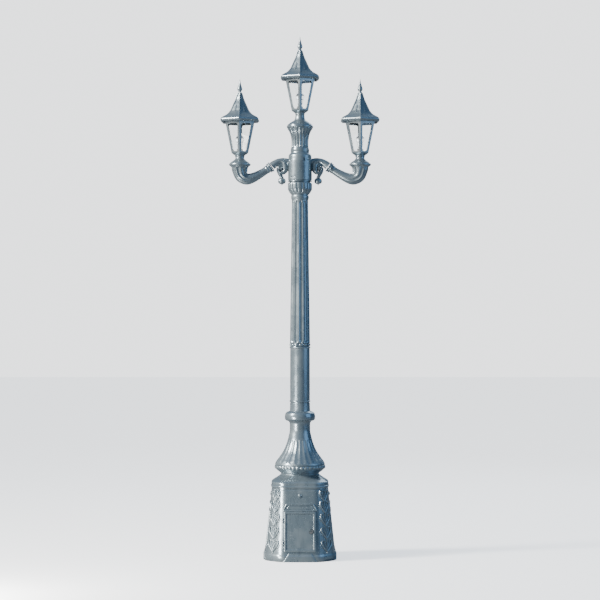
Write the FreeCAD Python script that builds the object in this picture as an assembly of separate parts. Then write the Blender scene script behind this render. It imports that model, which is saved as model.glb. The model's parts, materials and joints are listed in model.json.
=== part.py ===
"""Triple head lamp post: cast post, pedestal with a hinged door, two arms and three six-sided lanterns.

Millimetres, +Z up, front is -Y. The origin is the middle of the foot, on the ground.
"""
import FreeCAD, Part
import math
import os

V = FreeCAD.Vector
UP = V(0, 0, 1)

# ---- Post: heights of the castings, stacked from the ground ----
PEDESTAL_HEIGHT = 486.0
PEDESTAL_CAP_HEIGHT = 85.0
BELL_HEIGHT = 351.0
COLLAR_HEIGHT = 68.0
LOWER_SHAFT_HEIGHT = 422.0
LOBED_RING_HEIGHT = 34.0
FLUTED_SHAFT_HEIGHT = 962.0
NECK_RING_HEIGHT = 40.0
CUP_HEIGHT = 88.0
HUB_HEIGHT = 195.0
CAPITAL_HEIGHT = 162.0
CAPITAL_CAP_HEIGHT = 84.0

# ---- Post: radii ----
CORE_RADIUS = 38.0
CORE_WALL = 5.0
CASTING_CLEARANCE = 0.8
BELL_WAIST_RADIUS = 127.0
BELL_RIM_RADIUS = 171.0
BELL_NECK_RADIUS = 69.5
COLLAR_RADIUS = 102.0
LOWER_SHAFT_RADIUS = 69.5
LOBED_RING_RADIUS = 71.0
FLUTED_FOOT_RADIUS = 68.0
FLUTED_TOP_RADIUS = 55.0
NECK_RING_RADIUS = 60.0
CUP_RADIUS = 82.5
HUB_RADIUS = 80.0
HUB_TOP_RADIUS = 61.7
CAPITAL_WAIST_RADIUS = 56.0
CAPITAL_RIM_RADIUS = 86.0
CAP_RIM_RADIUS = 88.6
CAP_NECK_RADIUS = 31.0
SHAFT_GROOVE_RISE = 58.0
SHAFT_GROOVE_HALF = 4.0
SHAFT_GROOVE_DEPTH = 2.5
SHAFT_BEAD_HEIGHT = 8.0
SHAFT_BEAD_RISE = 1.5
RING_FOOT = 10.0
RING_FOOT_SINK = 2.0

# ---- Post: ornament ----
BELL_FLUTES = 24
BELL_FLUTE_DEPTH = 4.5
SHAFT_FLUTES = 12
SHAFT_FLUTE_DEPTH = 7.0
RING_LOBE_HEIGHT = 2.5
CUP_LOBES = 16
CUP_LOBE_HEIGHT = 3.0
CAPITAL_FLUTES = 16
CAPITAL_FLUTE_DEPTH = 4.0

# ---- Pedestal: a square with its corners cut off at 45 degrees ----
FOOT_HALF = 237.5
FOOT_FLAT = 126.0
FOOT_BAND = 40.0
BAND_CHAMFER = 8.0
FACE_FOOT_HALF = 234.0
SHOULDER_HEIGHT = 337.0
SHOULDER_HALF = 203.0
SHOULDER_FLAT = 119.0
PEDESTAL_TOP_HALF = 190.5
PEDESTAL_TOP_FLAT = 114.0
LEDGE_OVERHANG = 4.0
PEDESTAL_CORNER = 14.0
PEDESTAL_WALL = 10.0
RELIEF = 5.0
APRON_TOP_HALF = 82.0
APRON_FOOT_HALF = 118.0
APRON_HEIGHT = 56.0
PEDIMENT_HALF = 116.0
PEDIMENT_RISE = 42.0
PEDIMENT_BAND = 10.0
PEDIMENT_GAP = 12.0
ORNAMENT_SINK = 3.0
PEDIMENT_DEPTH = 5.0
BOSS_DEPTH = 8.0
BOSS_RADIUS = 13.0
BOSS_RISE = 92.0

# ---- Door, hinged on its left edge and lying on the leaning front face ----
DOOR_WIDTH = 214.0
DOOR_HEIGHT = 266.0
DOOR_FOOT = 20.0
DOOR_PLATE = 6.0
DOOR_BORDER = 16.0
DOOR_BORDER_RISE = 4.0
DOOR_LAP = 14.0
DOOR_CORNER = 10.0
DOOR_GAP = 0.4
BARREL_RADIUS = 5.0
BARREL_LENGTH = 17.0
BARREL_INSET = 42.0
BARREL_SPACE = 1.0
WEB_DEPTH = 6.0
PIN_RADIUS = 2.5
PIN_CLEARANCE = 0.05
LOCK_RADIUS = 9.0
LOCK_HEAD_RADIUS = 13.0
LOCK_HEAD_HEIGHT = 5.0
LOCK_EDGE = 2.5
LOCK_CLEARANCE = 0.05
LOCK_KEY_RADIUS = 7.0
LOCK_KEY_FLOOR = 1.0
CAM_LENGTH = 36.0
CAM_WIDTH = 14.0
CAM_THICKNESS = 4.0
CAM_GAP = 3.0

# ---- Foot plate and the gear behind the door ----
FLANGE_SIDE = 300.0
FLANGE_THICKNESS = 16.0
FLANGE_CORNER = 20.0
ANCHOR_SPACING = 220.0
ANCHOR_HOLE_RADIUS = 12.0
CABLE_HOLE_RADIUS = 28.0
BOARD_WIDTH = 120.0
BOARD_HEIGHT = 220.0
BOARD_THICKNESS = 8.0
BOARD_FOOT = 95.0
BRACKET_DEPTH = 22.0
BRACKET_HEIGHT = 24.0
BRACKET_INSET = 34.0
FUSE_BOX_WIDTH = 88.0
FUSE_BOX_HEIGHT = 140.0
FUSE_BOX_DEPTH = 44.0
FUSE_COVER_DEPTH = 16.0
FUSE_COVER_INSET = 2.0
BOX_CORNER = 8.0
STUD_RADIUS = 5.0
STUD_LENGTH = 26.0
STUD_NUT_RADIUS = 9.0
STUD_NUT_HEIGHT = 8.0
STUD_OUT = 105.0

# ---- Hub screws and the cable way above the hub ----
SCREW_RADIUS = 4.0
SCREW_ANGLES = (-105.0, -65.0, 90.0)
SCREW_RISE = 20.0
SCREW_SINK = 2.0
SCREW_GAP = 0.2
CABLE_BORE = 8.0

# ---- Arms: X from the post's axis, heights from the foot of the hub ----
ARM_REACH = 405.0
ARM_END_RISE = 96.0
COLLAR_OUT = 201.0
COLLAR_RISE = 91.0
COLLAR_LEAN = 35.0
COLLAR_RING_RADIUS = 35.0
COLLAR_RING_LENGTH = 18.0
ARM_COLLAR_RADIUS = 24.5
ARM_SEAT_RADIUS = 57.5
ARM_SWELL = 1.7
ARM_DIP = 15.0
ARM_FLUTES = 10
ARM_FLUTE_DEPTH = 9.0
ARCH_RADIUS = 16.0
ARCH_SINK = 4.0
ARCH_SWELL = 2.0
ARCH_END_RADIUS = 28.0
SCROLL_OUT = 122.0
SCROLL_RISE = 88.0
SCROLL_RADIUS = 46.0
SCROLL_BAND = 13.0
SCROLL_CURL_RADIUS = 24.0
SCROLL_WIDTH = 48.0
SCROLL_EYE_RADIUS = 13.0
SCROLL_EYE_PROUD = 5.0
PENDANT_BALL_RADIUS = 26.0
PENDANT_BOSS = 3.0
PENDANT_BALL_DROP = 31.0
PENDANT_COLLAR = 5.0
PENDANT_STEM_RADIUS = 9.0

# ---- Lantern: heights from the plane of its eave ----
EAVE_HALF = 129.5
EAVE_HALF_THICKNESS = 7.0
EAVE_COVE = 9.0
HOOD_HEIGHT = 188.0
HOOD_NECK_HALF = 12.5
HOOD_WALL = 5.0
RIB_HALF_WIDTH = 6.0
RIB_HEIGHT = 5.0
RIB_MOST_SHARE = 0.3
CAGE_TOP_HALF = 96.3
CAGE_FOOT_HALF = 55.5
CAGE_TOP_DROP = 7.4
CAGE_HEIGHT = 206.6
CAGE_WALL = 6.0
TOP_RAIL = 14.0
FOOT_RAIL = 8.0
CORNER_FLANGE = 15.0
WINDOW_TOP_CORNER = 12.0
WINDOW_FOOT_CORNER = 14.0
PANE_THICKNESS = 3.0
PANE_LAP = 5.0
PANE_GAP = 0.2
BOWL_HEIGHT = 35.0
BOWL_RIM_INSET = 1.0
BOWL_NECK_RADIUS = 29.4
HOLDER_RADIUS = 20.0
HOLDER_HEIGHT = 26.0
HOLDER_FLOOR = 7.0
LAMP_CAP_RADIUS = 13.5
LAMP_GAP = 0.2
LAMP_RADIUS = 28.0
LAMP_LENGTH = 112.0
SEAT_HEIGHT = 60.0
SEAT_RIM_RADIUS = 72.8
FINIAL_HEIGHT = 95.0
FINIAL_BULB_RADIUS = 17.0
FINIAL_BASE_RADIUS = 14.0
HOOD_HINGE_OUT = 108.0
HOOD_HINGE_DROP = 14.0
HOOD_BARREL_RADIUS = 5.0
HOOD_BARREL_LENGTH = 14.0
HOOD_BARREL_GAP = 0.5


# ---- Heights that follow from the stack ----
Z_CAP = PEDESTAL_HEIGHT
Z_BELL = Z_CAP + PEDESTAL_CAP_HEIGHT
Z_COLLAR = Z_BELL + BELL_HEIGHT
Z_LOWER = Z_COLLAR + COLLAR_HEIGHT
Z_LOBES = Z_LOWER + LOWER_SHAFT_HEIGHT
Z_FLUTED = Z_LOBES + LOBED_RING_HEIGHT
Z_NECK = Z_FLUTED + FLUTED_SHAFT_HEIGHT
Z_CUP = Z_NECK + NECK_RING_HEIGHT
Z_HUB = Z_CUP + CUP_HEIGHT
Z_CAPITAL = Z_HUB + HUB_HEIGHT
Z_CAPITAL_CAP = Z_CAPITAL + CAPITAL_HEIGHT
Z_TOP = Z_CAPITAL_CAP + CAPITAL_CAP_HEIGHT
BORE = CORE_RADIUS + CASTING_CLEARANCE
BAND_TOP = FOOT_BAND + BAND_CHAMFER
FACE_LEAN = math.degrees(math.atan((FACE_FOOT_HALF - SHOULDER_HALF) / (SHOULDER_HEIGHT - BAND_TOP)))
OVERCUT = 1.0
TOUCHING = 1e-6


# ---- Shape helpers ----
def line(start, end):
    return Part.LineSegment(start, end).toShape()


def arc(start, middle, end):
    return Part.Arc(start, middle, end).toShape()


def polar(radius, angle, height):
    return V(radius * math.cos(angle), radius * math.sin(angle), height)


def turned(outline, bore=0.0):
    """Body turned about Z. The outline runs up the outside as (height, radius) stations.

    A station of four numbers is the middle and the end of an arc.
    """
    edges = []
    start = V(outline[0][1], 0, outline[0][0])
    here = start
    for station in outline[1:]:
        there = V(station[-1], 0, station[-2])
        if len(station) == 4:
            edges.append(arc(here, V(station[1], 0, station[0]), there))
        else:
            edges.append(line(here, there))
        here = there
    corners = [here, V(bore, 0, here.z), V(bore, 0, start.z), start]
    for first, second in zip(corners, corners[1:]):
        if first.distanceToPoint(second) > TOUCHING:
            edges.append(line(first, second))
    return Part.Face(Part.Wire(edges)).revolve(V(0, 0, 0), UP, 360)


def fluted_section(radius, depth, count, height):
    """Outline of count arcs between points on a circle; depth is how far their middles lie inside it."""
    step = 2 * math.pi / count
    arcs = []
    for n in range(count):
        ends = [polar(radius, (n + side) * step, height) for side in (0, 1)]
        arcs.append(arc(ends[0], polar(radius - depth, (n + 0.5) * step, height), ends[1]))
    return Part.Wire(arcs)


def fluted(stations, count, bore):
    """Body whose sections at (height, radius, depth) stations are fluted, with a bore along its axis."""
    wires = [fluted_section(radius, depth, count, height) for height, radius, depth in stations]
    low, high = stations[0][0], stations[-1][0]
    body = Part.makeLoft(wires, True, True)
    if bore > 0:
        body = body.cut(Part.makeCylinder(bore, high - low + 2 * OVERCUT, V(0, 0, low - OVERCUT)))
    return body


def rounded_polygon(points, radii):
    """Closed wire in the XY plane through the points, each corner rounded to its own radius."""
    count = len(points)
    edges = []
    marks = []
    for n in range(count):
        before, corner, after = points[n - 1], points[n], points[(n + 1) % count]
        back = (before - corner).normalize()
        ahead = (after - corner).normalize()
        half_turn = back.getAngle(ahead) / 2
        reach = radii[n] / math.tan(half_turn)
        inward = (back + ahead).normalize()
        centre = corner + inward * (radii[n] / math.sin(half_turn))
        marks.append((corner + back * reach, centre - inward * radii[n], corner + ahead * reach))
    for n in range(count):
        edges.append(arc(*marks[n]))
        edges.append(line(marks[n][2], marks[(n + 1) % count][0]))
    return Part.Wire(edges)


def rounded_slab(width, height, thickness, corner):
    """Plate in the XY plane, centred in X, standing on Y = 0, with its back at Z = 0."""
    half = width / 2
    points = [V(-half, 0, 0), V(half, 0, 0), V(half, height, 0), V(-half, height, 0)]
    return Part.Face(rounded_polygon(points, [corner] * 4)).extrude(UP * thickness)


def straight_slab(points, thickness):
    """Plate in the XY plane with sharp corners at the points."""
    return Part.Face(Part.makePolygon(points + points[:1])).extrude(UP * thickness)


def moved(shape, x=0.0, y=0.0, z=0.0):
    copy = shape.copy()
    copy.translate(V(x, y, z))
    return copy


def turned_about_z(shape, degrees):
    copy = shape.copy()
    copy.rotate(V(0, 0, 0), UP, degrees)
    return copy


def joined(shapes):
    """One clean solid from touching or crossing shapes."""
    return shapes[0].fuse(shapes[1:]).removeSplitter()


def mirrored(shape):
    """The same shape on the other side of the post."""
    return shape.mirror(V(0, 0, 0), V(1, 0, 0))


def export(name, shape):
    shape.exportStep("parts/" + name + ".step")


# ---- Pedestal ----
def eight_sided(half, flat, corner, height, roundness=0.0):
    """Chamfered square with rounded corners; roundness 1 carries its points onto a circle of radius half."""
    vertices = []
    for quarter in range(4):
        turn = FreeCAD.Rotation(UP, 90 * quarter)
        vertices.append(turn.multVec(V(flat, -half, 0)))
        vertices.append(turn.multVec(V(half, -flat, 0)))
    cut_back = corner * math.tan(math.radians(22.5))
    inset = corner * (1 / math.cos(math.radians(22.5)) - 1)

    def place(point):
        radius = math.hypot(point.x, point.y)
        scale = 1 + roundness * (half / radius - 1)
        return V(point.x * scale, point.y * scale, height)

    edges = []
    for n in range(8):
        before, here, after = vertices[n - 1], vertices[n], vertices[(n + 1) % 8]
        back = (before - here).normalize()
        ahead = (after - here).normalize()
        leave = here + ahead * cut_back
        arrive = after - ahead * cut_back
        middle = here + (back + ahead).normalize() * inset
        edges.append(arc(place(here + back * cut_back), place(middle), place(leave)))
        if roundness > 0:
            edges.append(arc(place(leave), place((leave + arrive) * 0.5), place(arrive)))
        else:
            edges.append(line(place(leave), place(arrive)))
    return Part.Wire(edges)


def on_face(shape, side=0):
    """Carry a shape from the XY plane onto a leaning face: X along it, Y up it, Z out of it."""
    foot = V(0, -FACE_FOOT_HALF, BAND_TOP)
    place = FreeCAD.Placement(foot, FreeCAD.Rotation(V(1, 0, 0), 90 - FACE_LEAN))
    placed = shape.transformed(place.toMatrix())
    return turned_about_z(placed, 90 * side)


def door_opening(grow=0.0):
    """Solid as wide as the doorway, through the pedestal's wall."""
    width = DOOR_WIDTH - 2 * DOOR_LAP + 2 * grow
    height = DOOR_HEIGHT - 2 * DOOR_LAP + 2 * grow
    cut = rounded_slab(width, height, 4 * PEDESTAL_WALL, DOOR_CORNER)
    return moved(cut, 0, DOOR_FOOT + DOOR_LAP - grow, -2 * PEDESTAL_WALL)


def hinge_spots():
    """How far up the face each hinge stands."""
    low = DOOR_FOOT + BARREL_INSET
    high = DOOR_FOOT + DOOR_HEIGHT - BARREL_INSET - 2 * BARREL_LENGTH - DOOR_GAP
    return [low, high]


def hinge_axis(radius, foot, length):
    """Cylinder about the door's hinge axis, which stands up the face beside the door's left edge."""
    x = -(DOOR_WIDTH / 2 + BARREL_SPACE + BARREL_RADIUS)
    return Part.makeCylinder(radius, length, V(x, foot, DOOR_GAP + BARREL_RADIUS), V(0, 1, 0))


def pedestal():
    """Hollow casting: foot band, leaning faces, a doorway in front and blind panels on the other sides."""
    foot = (FOOT_HALF, FOOT_FLAT)
    face_foot = (FACE_FOOT_HALF, FOOT_FLAT)
    shoulder = (SHOULDER_HALF, SHOULDER_FLAT)
    top = (PEDESTAL_TOP_HALF, PEDESTAL_TOP_FLAT)
    outside = [(foot, 0), (foot, FOOT_BAND), (face_foot, BAND_TOP), (shoulder, SHOULDER_HEIGHT),
               (top, PEDESTAL_HEIGHT)]
    inside = [(face_foot, -OVERCUT), (face_foot, BAND_TOP), (shoulder, SHOULDER_HEIGHT),
              (top, PEDESTAL_HEIGHT + OVERCUT)]
    outer = [eight_sided(half, flat, PEDESTAL_CORNER, z) for (half, flat), z in outside]
    inner_corner = PEDESTAL_CORNER - PEDESTAL_WALL / 2
    inner = [eight_sided(half - PEDESTAL_WALL, flat - PEDESTAL_WALL / 2, inner_corner, z)
             for (half, flat), z in inside]
    relief = [on_face(panel_frame(), side) for side in (1, 2, 3)] + face_ornaments()
    shell = joined([Part.makeLoft(outer, True, True)] + relief)
    shell = shell.cut(Part.makeLoft(inner, True, True))
    shell = shell.cut(on_face(door_opening()))
    return joined([shell] + [on_face(hinge_lug(spot)) for spot in hinge_spots()])


def panel_frame():
    """Raised border like the door's, for the faces without a door."""
    slab = rounded_slab(DOOR_WIDTH, DOOR_HEIGHT, RELIEF + OVERCUT, DOOR_CORNER)
    width, height = DOOR_WIDTH - 2 * DOOR_BORDER, DOOR_HEIGHT - 2 * DOOR_BORDER
    hole = rounded_slab(width, height, RELIEF + 3 * OVERCUT, DOOR_CORNER)
    frame = slab.cut(moved(hole, 0, DOOR_BORDER, -OVERCUT))
    return moved(frame, 0, DOOR_FOOT, -OVERCUT)


def apron():
    """Spreading apron on the foot band of a face, in the XZ plane of the front."""
    outline = [V(-APRON_FOOT_HALF, 0, 0), V(APRON_FOOT_HALF, 0, 0),
               V(APRON_TOP_HALF, APRON_HEIGHT, 0), V(-APRON_TOP_HALF, APRON_HEIGHT, 0)]
    slab = straight_slab(outline, RELIEF + PEDESTAL_WALL / 2)
    slab.rotate(V(0, 0, 0), V(1, 0, 0), 90)
    return moved(slab, 0, PEDESTAL_WALL / 2 - FOOT_HALF, 0)


def pediment():
    """Triangular moulding; its inner edge lies one band's width inside the outer one all round."""
    half, rise = PEDIMENT_HALF, PEDIMENT_RISE
    inner_circle = half * rise / (half + math.hypot(half, rise))
    scale = 1 - PEDIMENT_BAND / inner_circle
    outline = [V(-half, 0, 0), V(half, 0, 0), V(0, rise, 0)]
    inner = [point * scale + V(0, PEDIMENT_BAND, 0) for point in outline]
    depth = PEDIMENT_DEPTH + ORNAMENT_SINK
    hole = moved(straight_slab(inner, depth + 2 * OVERCUT), 0, 0, -OVERCUT)
    return straight_slab(outline, depth).cut(hole)


def face_ornaments():
    """Apron at the foot of each face, and the pediment with its boss over the door and the panels."""
    foot = DOOR_FOOT + DOOR_HEIGHT + PEDIMENT_GAP
    boss = Part.makeCylinder(BOSS_RADIUS, BOSS_DEPTH + ORNAMENT_SINK, V(0, BOSS_RISE, 0), UP)
    shapes = []
    for side in range(4):
        shapes.append(turned_about_z(apron(), 90 * side))
        shapes.append(on_face(moved(pediment(), 0, foot, -ORNAMENT_SINK), side))
        shapes.append(on_face(moved(boss, 0, foot, -ORNAMENT_SINK), side))
    return shapes


def hinge_lug(foot):
    """Fixed barrel of a hinge, with the block that carries it on the face."""
    block = Part.makeBox(WEB_DEPTH, BARREL_LENGTH, BARREL_RADIUS + 2 * DOOR_GAP + OVERCUT,
                         V(-(DOOR_WIDTH / 2 + BARREL_SPACE + 2 * BARREL_RADIUS), foot, -OVERCUT))
    bore = hinge_axis(PIN_RADIUS + PIN_CLEARANCE / 2, foot, BARREL_LENGTH)
    return block.fuse(hinge_axis(BARREL_RADIUS, foot, BARREL_LENGTH)).cut(bore)


def pedestal_cap():
    """Ledge of the pedestal that rises in an ogee to the round waist under the bell."""
    waist, rise = BELL_WAIST_RADIUS, PEDESTAL_CAP_HEIGHT
    ledge = PEDESTAL_TOP_HALF + LEDGE_OVERHANG
    flat = PEDESTAL_TOP_FLAT + LEDGE_OVERHANG / 2
    reach = ledge - waist
    stations = [(1.0, 0.0, 0.0), (1.0, 0.0, 0.08), (0.96, 0.0, 0.14), (0.95, 0.05, 0.38), (0.87, 0.2, 0.47),
                (0.66, 0.45, 0.6), (0.34, 0.75, 0.76), (0.1, 0.95, 0.9), (0.0, 1.0, 1.0)]
    wires = []
    for overhang, roundness, share in stations:
        half = waist + overhang * reach
        wires.append(eight_sided(half, flat * half / ledge, PEDESTAL_CORNER, Z_CAP + share * rise, roundness))
    outer = Part.makeLoft(wires, True, True)
    hollow = turned([(Z_CAP - OVERCUT, waist + 0.6 * reach), (Z_CAP + 0.4 * rise, waist + 0.5 * reach),
                     (Z_BELL - PEDESTAL_WALL, waist - PEDESTAL_WALL)])
    bore = Part.makeCylinder(BORE, 2 * rise, V(0, 0, Z_CAP), UP)
    return outer.cut(hollow).cut(bore)


# ---- Post castings, from the waist up ----
def bell_skirt():
    """Bell with a rolled rim, hollow flutes up its slope and a plain neck."""
    rim, neck, z = BELL_RIM_RADIUS, BELL_NECK_RADIUS, Z_BELL
    slope = rim - neck
    foot_top = z + 0.19 * BELL_HEIGHT
    flutes_top = z + 0.67 * BELL_HEIGHT
    foot_radius = neck + 0.94 * slope
    foot = turned(
        [(z, BELL_WAIST_RADIUS),
         (z + 0.06 * BELL_HEIGHT, neck + 0.8 * slope, z + 0.12 * BELL_HEIGHT, neck + 0.99 * slope),
         (z + 0.145 * BELL_HEIGHT, rim, z + 0.17 * BELL_HEIGHT, neck + 0.99 * slope),
         (foot_top, foot_radius)],
        BORE,
    )
    shares = [(0.0, 0.94, 0.25), (0.12, 0.79, 0.9), (0.28, 0.56, 1.0), (0.46, 0.36, 1.0), (0.7, 0.19, 0.8),
              (1.0, 0.09, 0.25)]
    stations = []
    for share, width, depth in shares:
        radius = neck + width * slope
        flat_depth = radius * (1 - math.cos(math.pi / BELL_FLUTES))
        height = foot_top + share * (flutes_top - foot_top)
        stations.append((height, radius, depth * (BELL_FLUTE_DEPTH + flat_depth)))
    slope_body = fluted(stations, BELL_FLUTES, BORE)
    top = turned(
        [(flutes_top, neck + 0.09 * slope), (z + 0.8 * BELL_HEIGHT, neck), (z + 0.96 * BELL_HEIGHT, neck + 1),
         (Z_COLLAR, neck + 8)],
        BORE,
    )
    waist = BELL_WAIST_RADIUS - PEDESTAL_WALL
    hollow = turned([(z - OVERCUT, waist), (foot_top, foot_radius - 4 * PEDESTAL_WALL),
                     (z + 0.4 * BELL_HEIGHT, neck), (z + 0.6 * BELL_HEIGHT, BORE)])
    return joined([foot, slope_body, top]).cut(hollow)


def collar_ring():
    """Round ring that covers the joint between the bell and the lower shaft."""
    low, rim = LOWER_SHAFT_RADIUS + 10, COLLAR_RADIUS
    z, rise = Z_COLLAR, COLLAR_HEIGHT
    return turned(
        [(z, low), (z + 0.1 * rise, rim - 8), (z + 0.4 * rise, rim, z + 0.76 * rise, rim - 5),
         (z + 0.88 * rise, low, z + rise, LOWER_SHAFT_RADIUS + 2)],
        BORE,
    )


def lower_shaft():
    """Plain drum with a groove near its foot and a bead above the groove."""
    r, z = LOWER_SHAFT_RADIUS, Z_LOWER
    groove = z + SHAFT_GROOVE_RISE
    bead = groove + SHAFT_GROOVE_HALF
    return turned(
        [(z, r), (groove - SHAFT_GROOVE_HALF, r), (groove, r - SHAFT_GROOVE_DEPTH), (bead, r),
         (bead + SHAFT_BEAD_HEIGHT / 2, r + SHAFT_BEAD_RISE, bead + SHAFT_BEAD_HEIGHT, r),
         (z + LOWER_SHAFT_HEIGHT, r)],
        BORE,
    )


def lobed_ring():
    """Ring with a rounded foot and a row of lobes, one under each flute of the shaft."""
    rim = LOBED_RING_RADIUS
    sunk = rim - RING_FOOT_SINK
    low, high = Z_LOBES + RING_FOOT, Z_FLUTED
    foot = turned([(Z_LOBES, sunk), (Z_LOBES + RING_FOOT / 2, rim), (low, sunk)], BORE)
    r = rim - RING_LOBE_HEIGHT
    stations = [(low, r - RING_FOOT_SINK, 0), (low + 0.3 * (high - low), r, -RING_LOBE_HEIGHT),
                (low + 0.7 * (high - low), r, -RING_LOBE_HEIGHT), (high, r - RING_FOOT_SINK, 0)]
    return joined([foot, fluted(stations, SHAFT_FLUTES, BORE)])


def fluted_shaft():
    """Tapering shaft with hollow flutes that fade out at its two ends."""
    stations = []
    for share, depth in ((0.0, 0.3), (0.03, 1.0), (0.97, 1.0), (1.0, 0.3)):
        radius = FLUTED_FOOT_RADIUS + share * (FLUTED_TOP_RADIUS - FLUTED_FOOT_RADIUS)
        stations.append((Z_FLUTED + share * FLUTED_SHAFT_HEIGHT, radius, depth * SHAFT_FLUTE_DEPTH))
    return fluted(stations, SHAFT_FLUTES, BORE)


def neck_ring():
    """Turned ring at the top of the shaft."""
    z, r, h = Z_NECK, NECK_RING_RADIUS, NECK_RING_HEIGHT
    edge = 0.98 * r
    line = [(z, 0.94 * r), (z + 0.2 * h, edge), (z + 0.5 * h, r, z + 0.8 * h, edge), (z + h, edge)]
    return turned(line, BORE)


def cup_capital():
    """Cup with round lobes that carries the hub, and the dark groove above it."""
    z, r, h = Z_CUP, CUP_RADIUS, CUP_HEIGHT
    low = NECK_RING_RADIUS + 1
    lobe = CUP_LOBE_HEIGHT
    reach = r - lobe - low
    shares = [(0.0, 0.0, 0), (0.1, 0.22, 1), (0.25, 0.65, 1), (0.42, 0.89, 1), (0.6, 1.0, 1), (0.8, 1.0, 1),
              (0.86, 0.89, 0)]
    stations = [(z + share * h, low + out * reach, -lobe * swell) for share, out, swell in shares]
    lobes = fluted(stations, CUP_LOBES, BORE)
    groove = low + 0.75 * reach
    top = turned([(z + 0.86 * h, groove), (z + 0.94 * h, groove), (z + 0.96 * h, r), (z + h, r)], BORE)
    return joined([lobes, top])


def arm_hub():
    """Drum that the two arms are cast against, with a chamfered shoulder and a ring on top."""
    z, r, h = Z_HUB, HUB_RADIUS, HUB_HEIGHT
    hub = turned(
        [(z, r), (z + 0.72 * h, r), (z + 0.75 * h, 0.975 * r), (z + 0.86 * h, 0.96 * r),
         (z + 0.9 * h, 0.94 * r), (z + 0.965 * h, HUB_TOP_RADIUS), (z + h, HUB_TOP_RADIUS)],
        BORE,
    )
    for angle in SCREW_ANGLES:
        hub = hub.cut(set_screw(angle, SCREW_RADIUS + PIN_CLEARANCE, HUB_RADIUS))
    return hub


def set_screw(angle, radius, reach):
    """Radial cylinder from the core tube out to reach, at the height of the hub's screws."""
    axis = V(math.cos(math.radians(angle)), math.sin(math.radians(angle)), 0)
    start = axis * (CORE_RADIUS + SCREW_GAP) + V(0, 0, Z_HUB + SCREW_RISE)
    return Part.makeCylinder(radius, reach - CORE_RADIUS, start, axis)


def hub_set_screws():
    """Three screws that clamp the hub on the core tube."""
    reach = HUB_RADIUS - SCREW_SINK
    return Part.makeCompound([set_screw(angle, SCREW_RADIUS, reach) for angle in SCREW_ANGLES])


def top_capital():
    """Ring and fluted bell under the middle lantern."""
    z, h = Z_CAPITAL, CAPITAL_HEIGHT
    waist, rim, ring = CAPITAL_WAIST_RADIUS, CAPITAL_RIM_RADIUS, HUB_TOP_RADIUS
    edge = 0.98 * ring
    foot = turned([(z, edge), (z + 0.06 * h, ring, z + 0.14 * h, edge), (z + 0.18 * h, 0.95 * ring)], BORE)
    shares = [(0.18, 0.13, 0.5), (0.3, 0.0, 1.0), (0.5, 0.02, 1.0), (0.64, 0.13, 1.0), (0.75, 0.27, 1.0),
              (0.86, 0.5, 1.0), (0.94, 0.78, 0.8), (1.0, 1.0, 0.4)]
    stations = [(z + share * h, waist + flare * (rim - waist), depth * CAPITAL_FLUTE_DEPTH)
                for share, flare, depth in shares]
    return joined([foot, fluted(stations, CAPITAL_FLUTES, BORE)])


def capital_cap():
    """Overhanging round cap with a conical shoulder and the neck that the middle lantern stands on."""
    z, h = Z_CAPITAL_CAP, CAPITAL_CAP_HEIGHT
    rim, neck = CAP_RIM_RADIUS, CAP_NECK_RADIUS
    reach = rim - neck
    return turned(
        [(z, neck + 0.95 * reach), (z + 0.08 * h, rim), (z + 0.17 * h, rim),
         (z + 0.24 * h, neck + 0.93 * reach), (z + 0.32 * h, neck + 0.81 * reach),
         (z + 0.42 * h, neck + 0.62 * reach),
         (z + 0.56 * h, neck + 0.26 * reach, z + 0.7 * h, neck + 0.09 * reach), (z + 0.88 * h, neck),
         (z + h, neck)],
        CABLE_BORE,
    )


# ---- Foot plate, core tube and the gear behind the door ----
def base_flange():
    """Steel foot plate with four anchor holes and the cable hole."""
    plate = rounded_slab(FLANGE_SIDE, FLANGE_SIDE, FLANGE_THICKNESS, FLANGE_CORNER)
    plate = moved(plate, 0, -FLANGE_SIDE / 2, 0)
    depth = FLANGE_THICKNESS + 2 * OVERCUT
    for x in (-ANCHOR_SPACING / 2, ANCHOR_SPACING / 2):
        for y in (-ANCHOR_SPACING / 2, ANCHOR_SPACING / 2):
            plate = plate.cut(Part.makeCylinder(ANCHOR_HOLE_RADIUS, depth, V(x, y, -OVERCUT), UP))
    return plate.cut(Part.makeCylinder(CABLE_HOLE_RADIUS, depth, V(0, 0, -OVERCUT), UP))


def core_tube():
    """Steel tube welded on the foot plate; it carries the castings up to the top capital."""
    height = Z_CAPITAL_CAP - FLANGE_THICKNESS
    tube = Part.makeCylinder(CORE_RADIUS, height, V(0, 0, FLANGE_THICKNESS), UP)
    inside = CORE_RADIUS - CORE_WALL
    bore = Part.makeCylinder(inside, height + 2 * OVERCUT, V(0, 0, FLANGE_THICKNESS - OVERCUT), UP)
    slot_foot = BOARD_FOOT + BOARD_HEIGHT + BRACKET_HEIGHT
    slot = rounded_slab(CORE_RADIUS, 2 * CORE_RADIUS, 2 * CORE_RADIUS, CORE_RADIUS / 3)
    slot.rotate(V(0, 0, 0), V(1, 0, 0), 90)
    return tube.cut(bore).cut(moved(slot, 0, 0, slot_foot))


def bracket_feet():
    """Heights of the two brackets that hold the board on the core tube."""
    return [BOARD_FOOT + BRACKET_INSET, BOARD_FOOT + BOARD_HEIGHT - BRACKET_INSET - BRACKET_HEIGHT]


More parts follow.
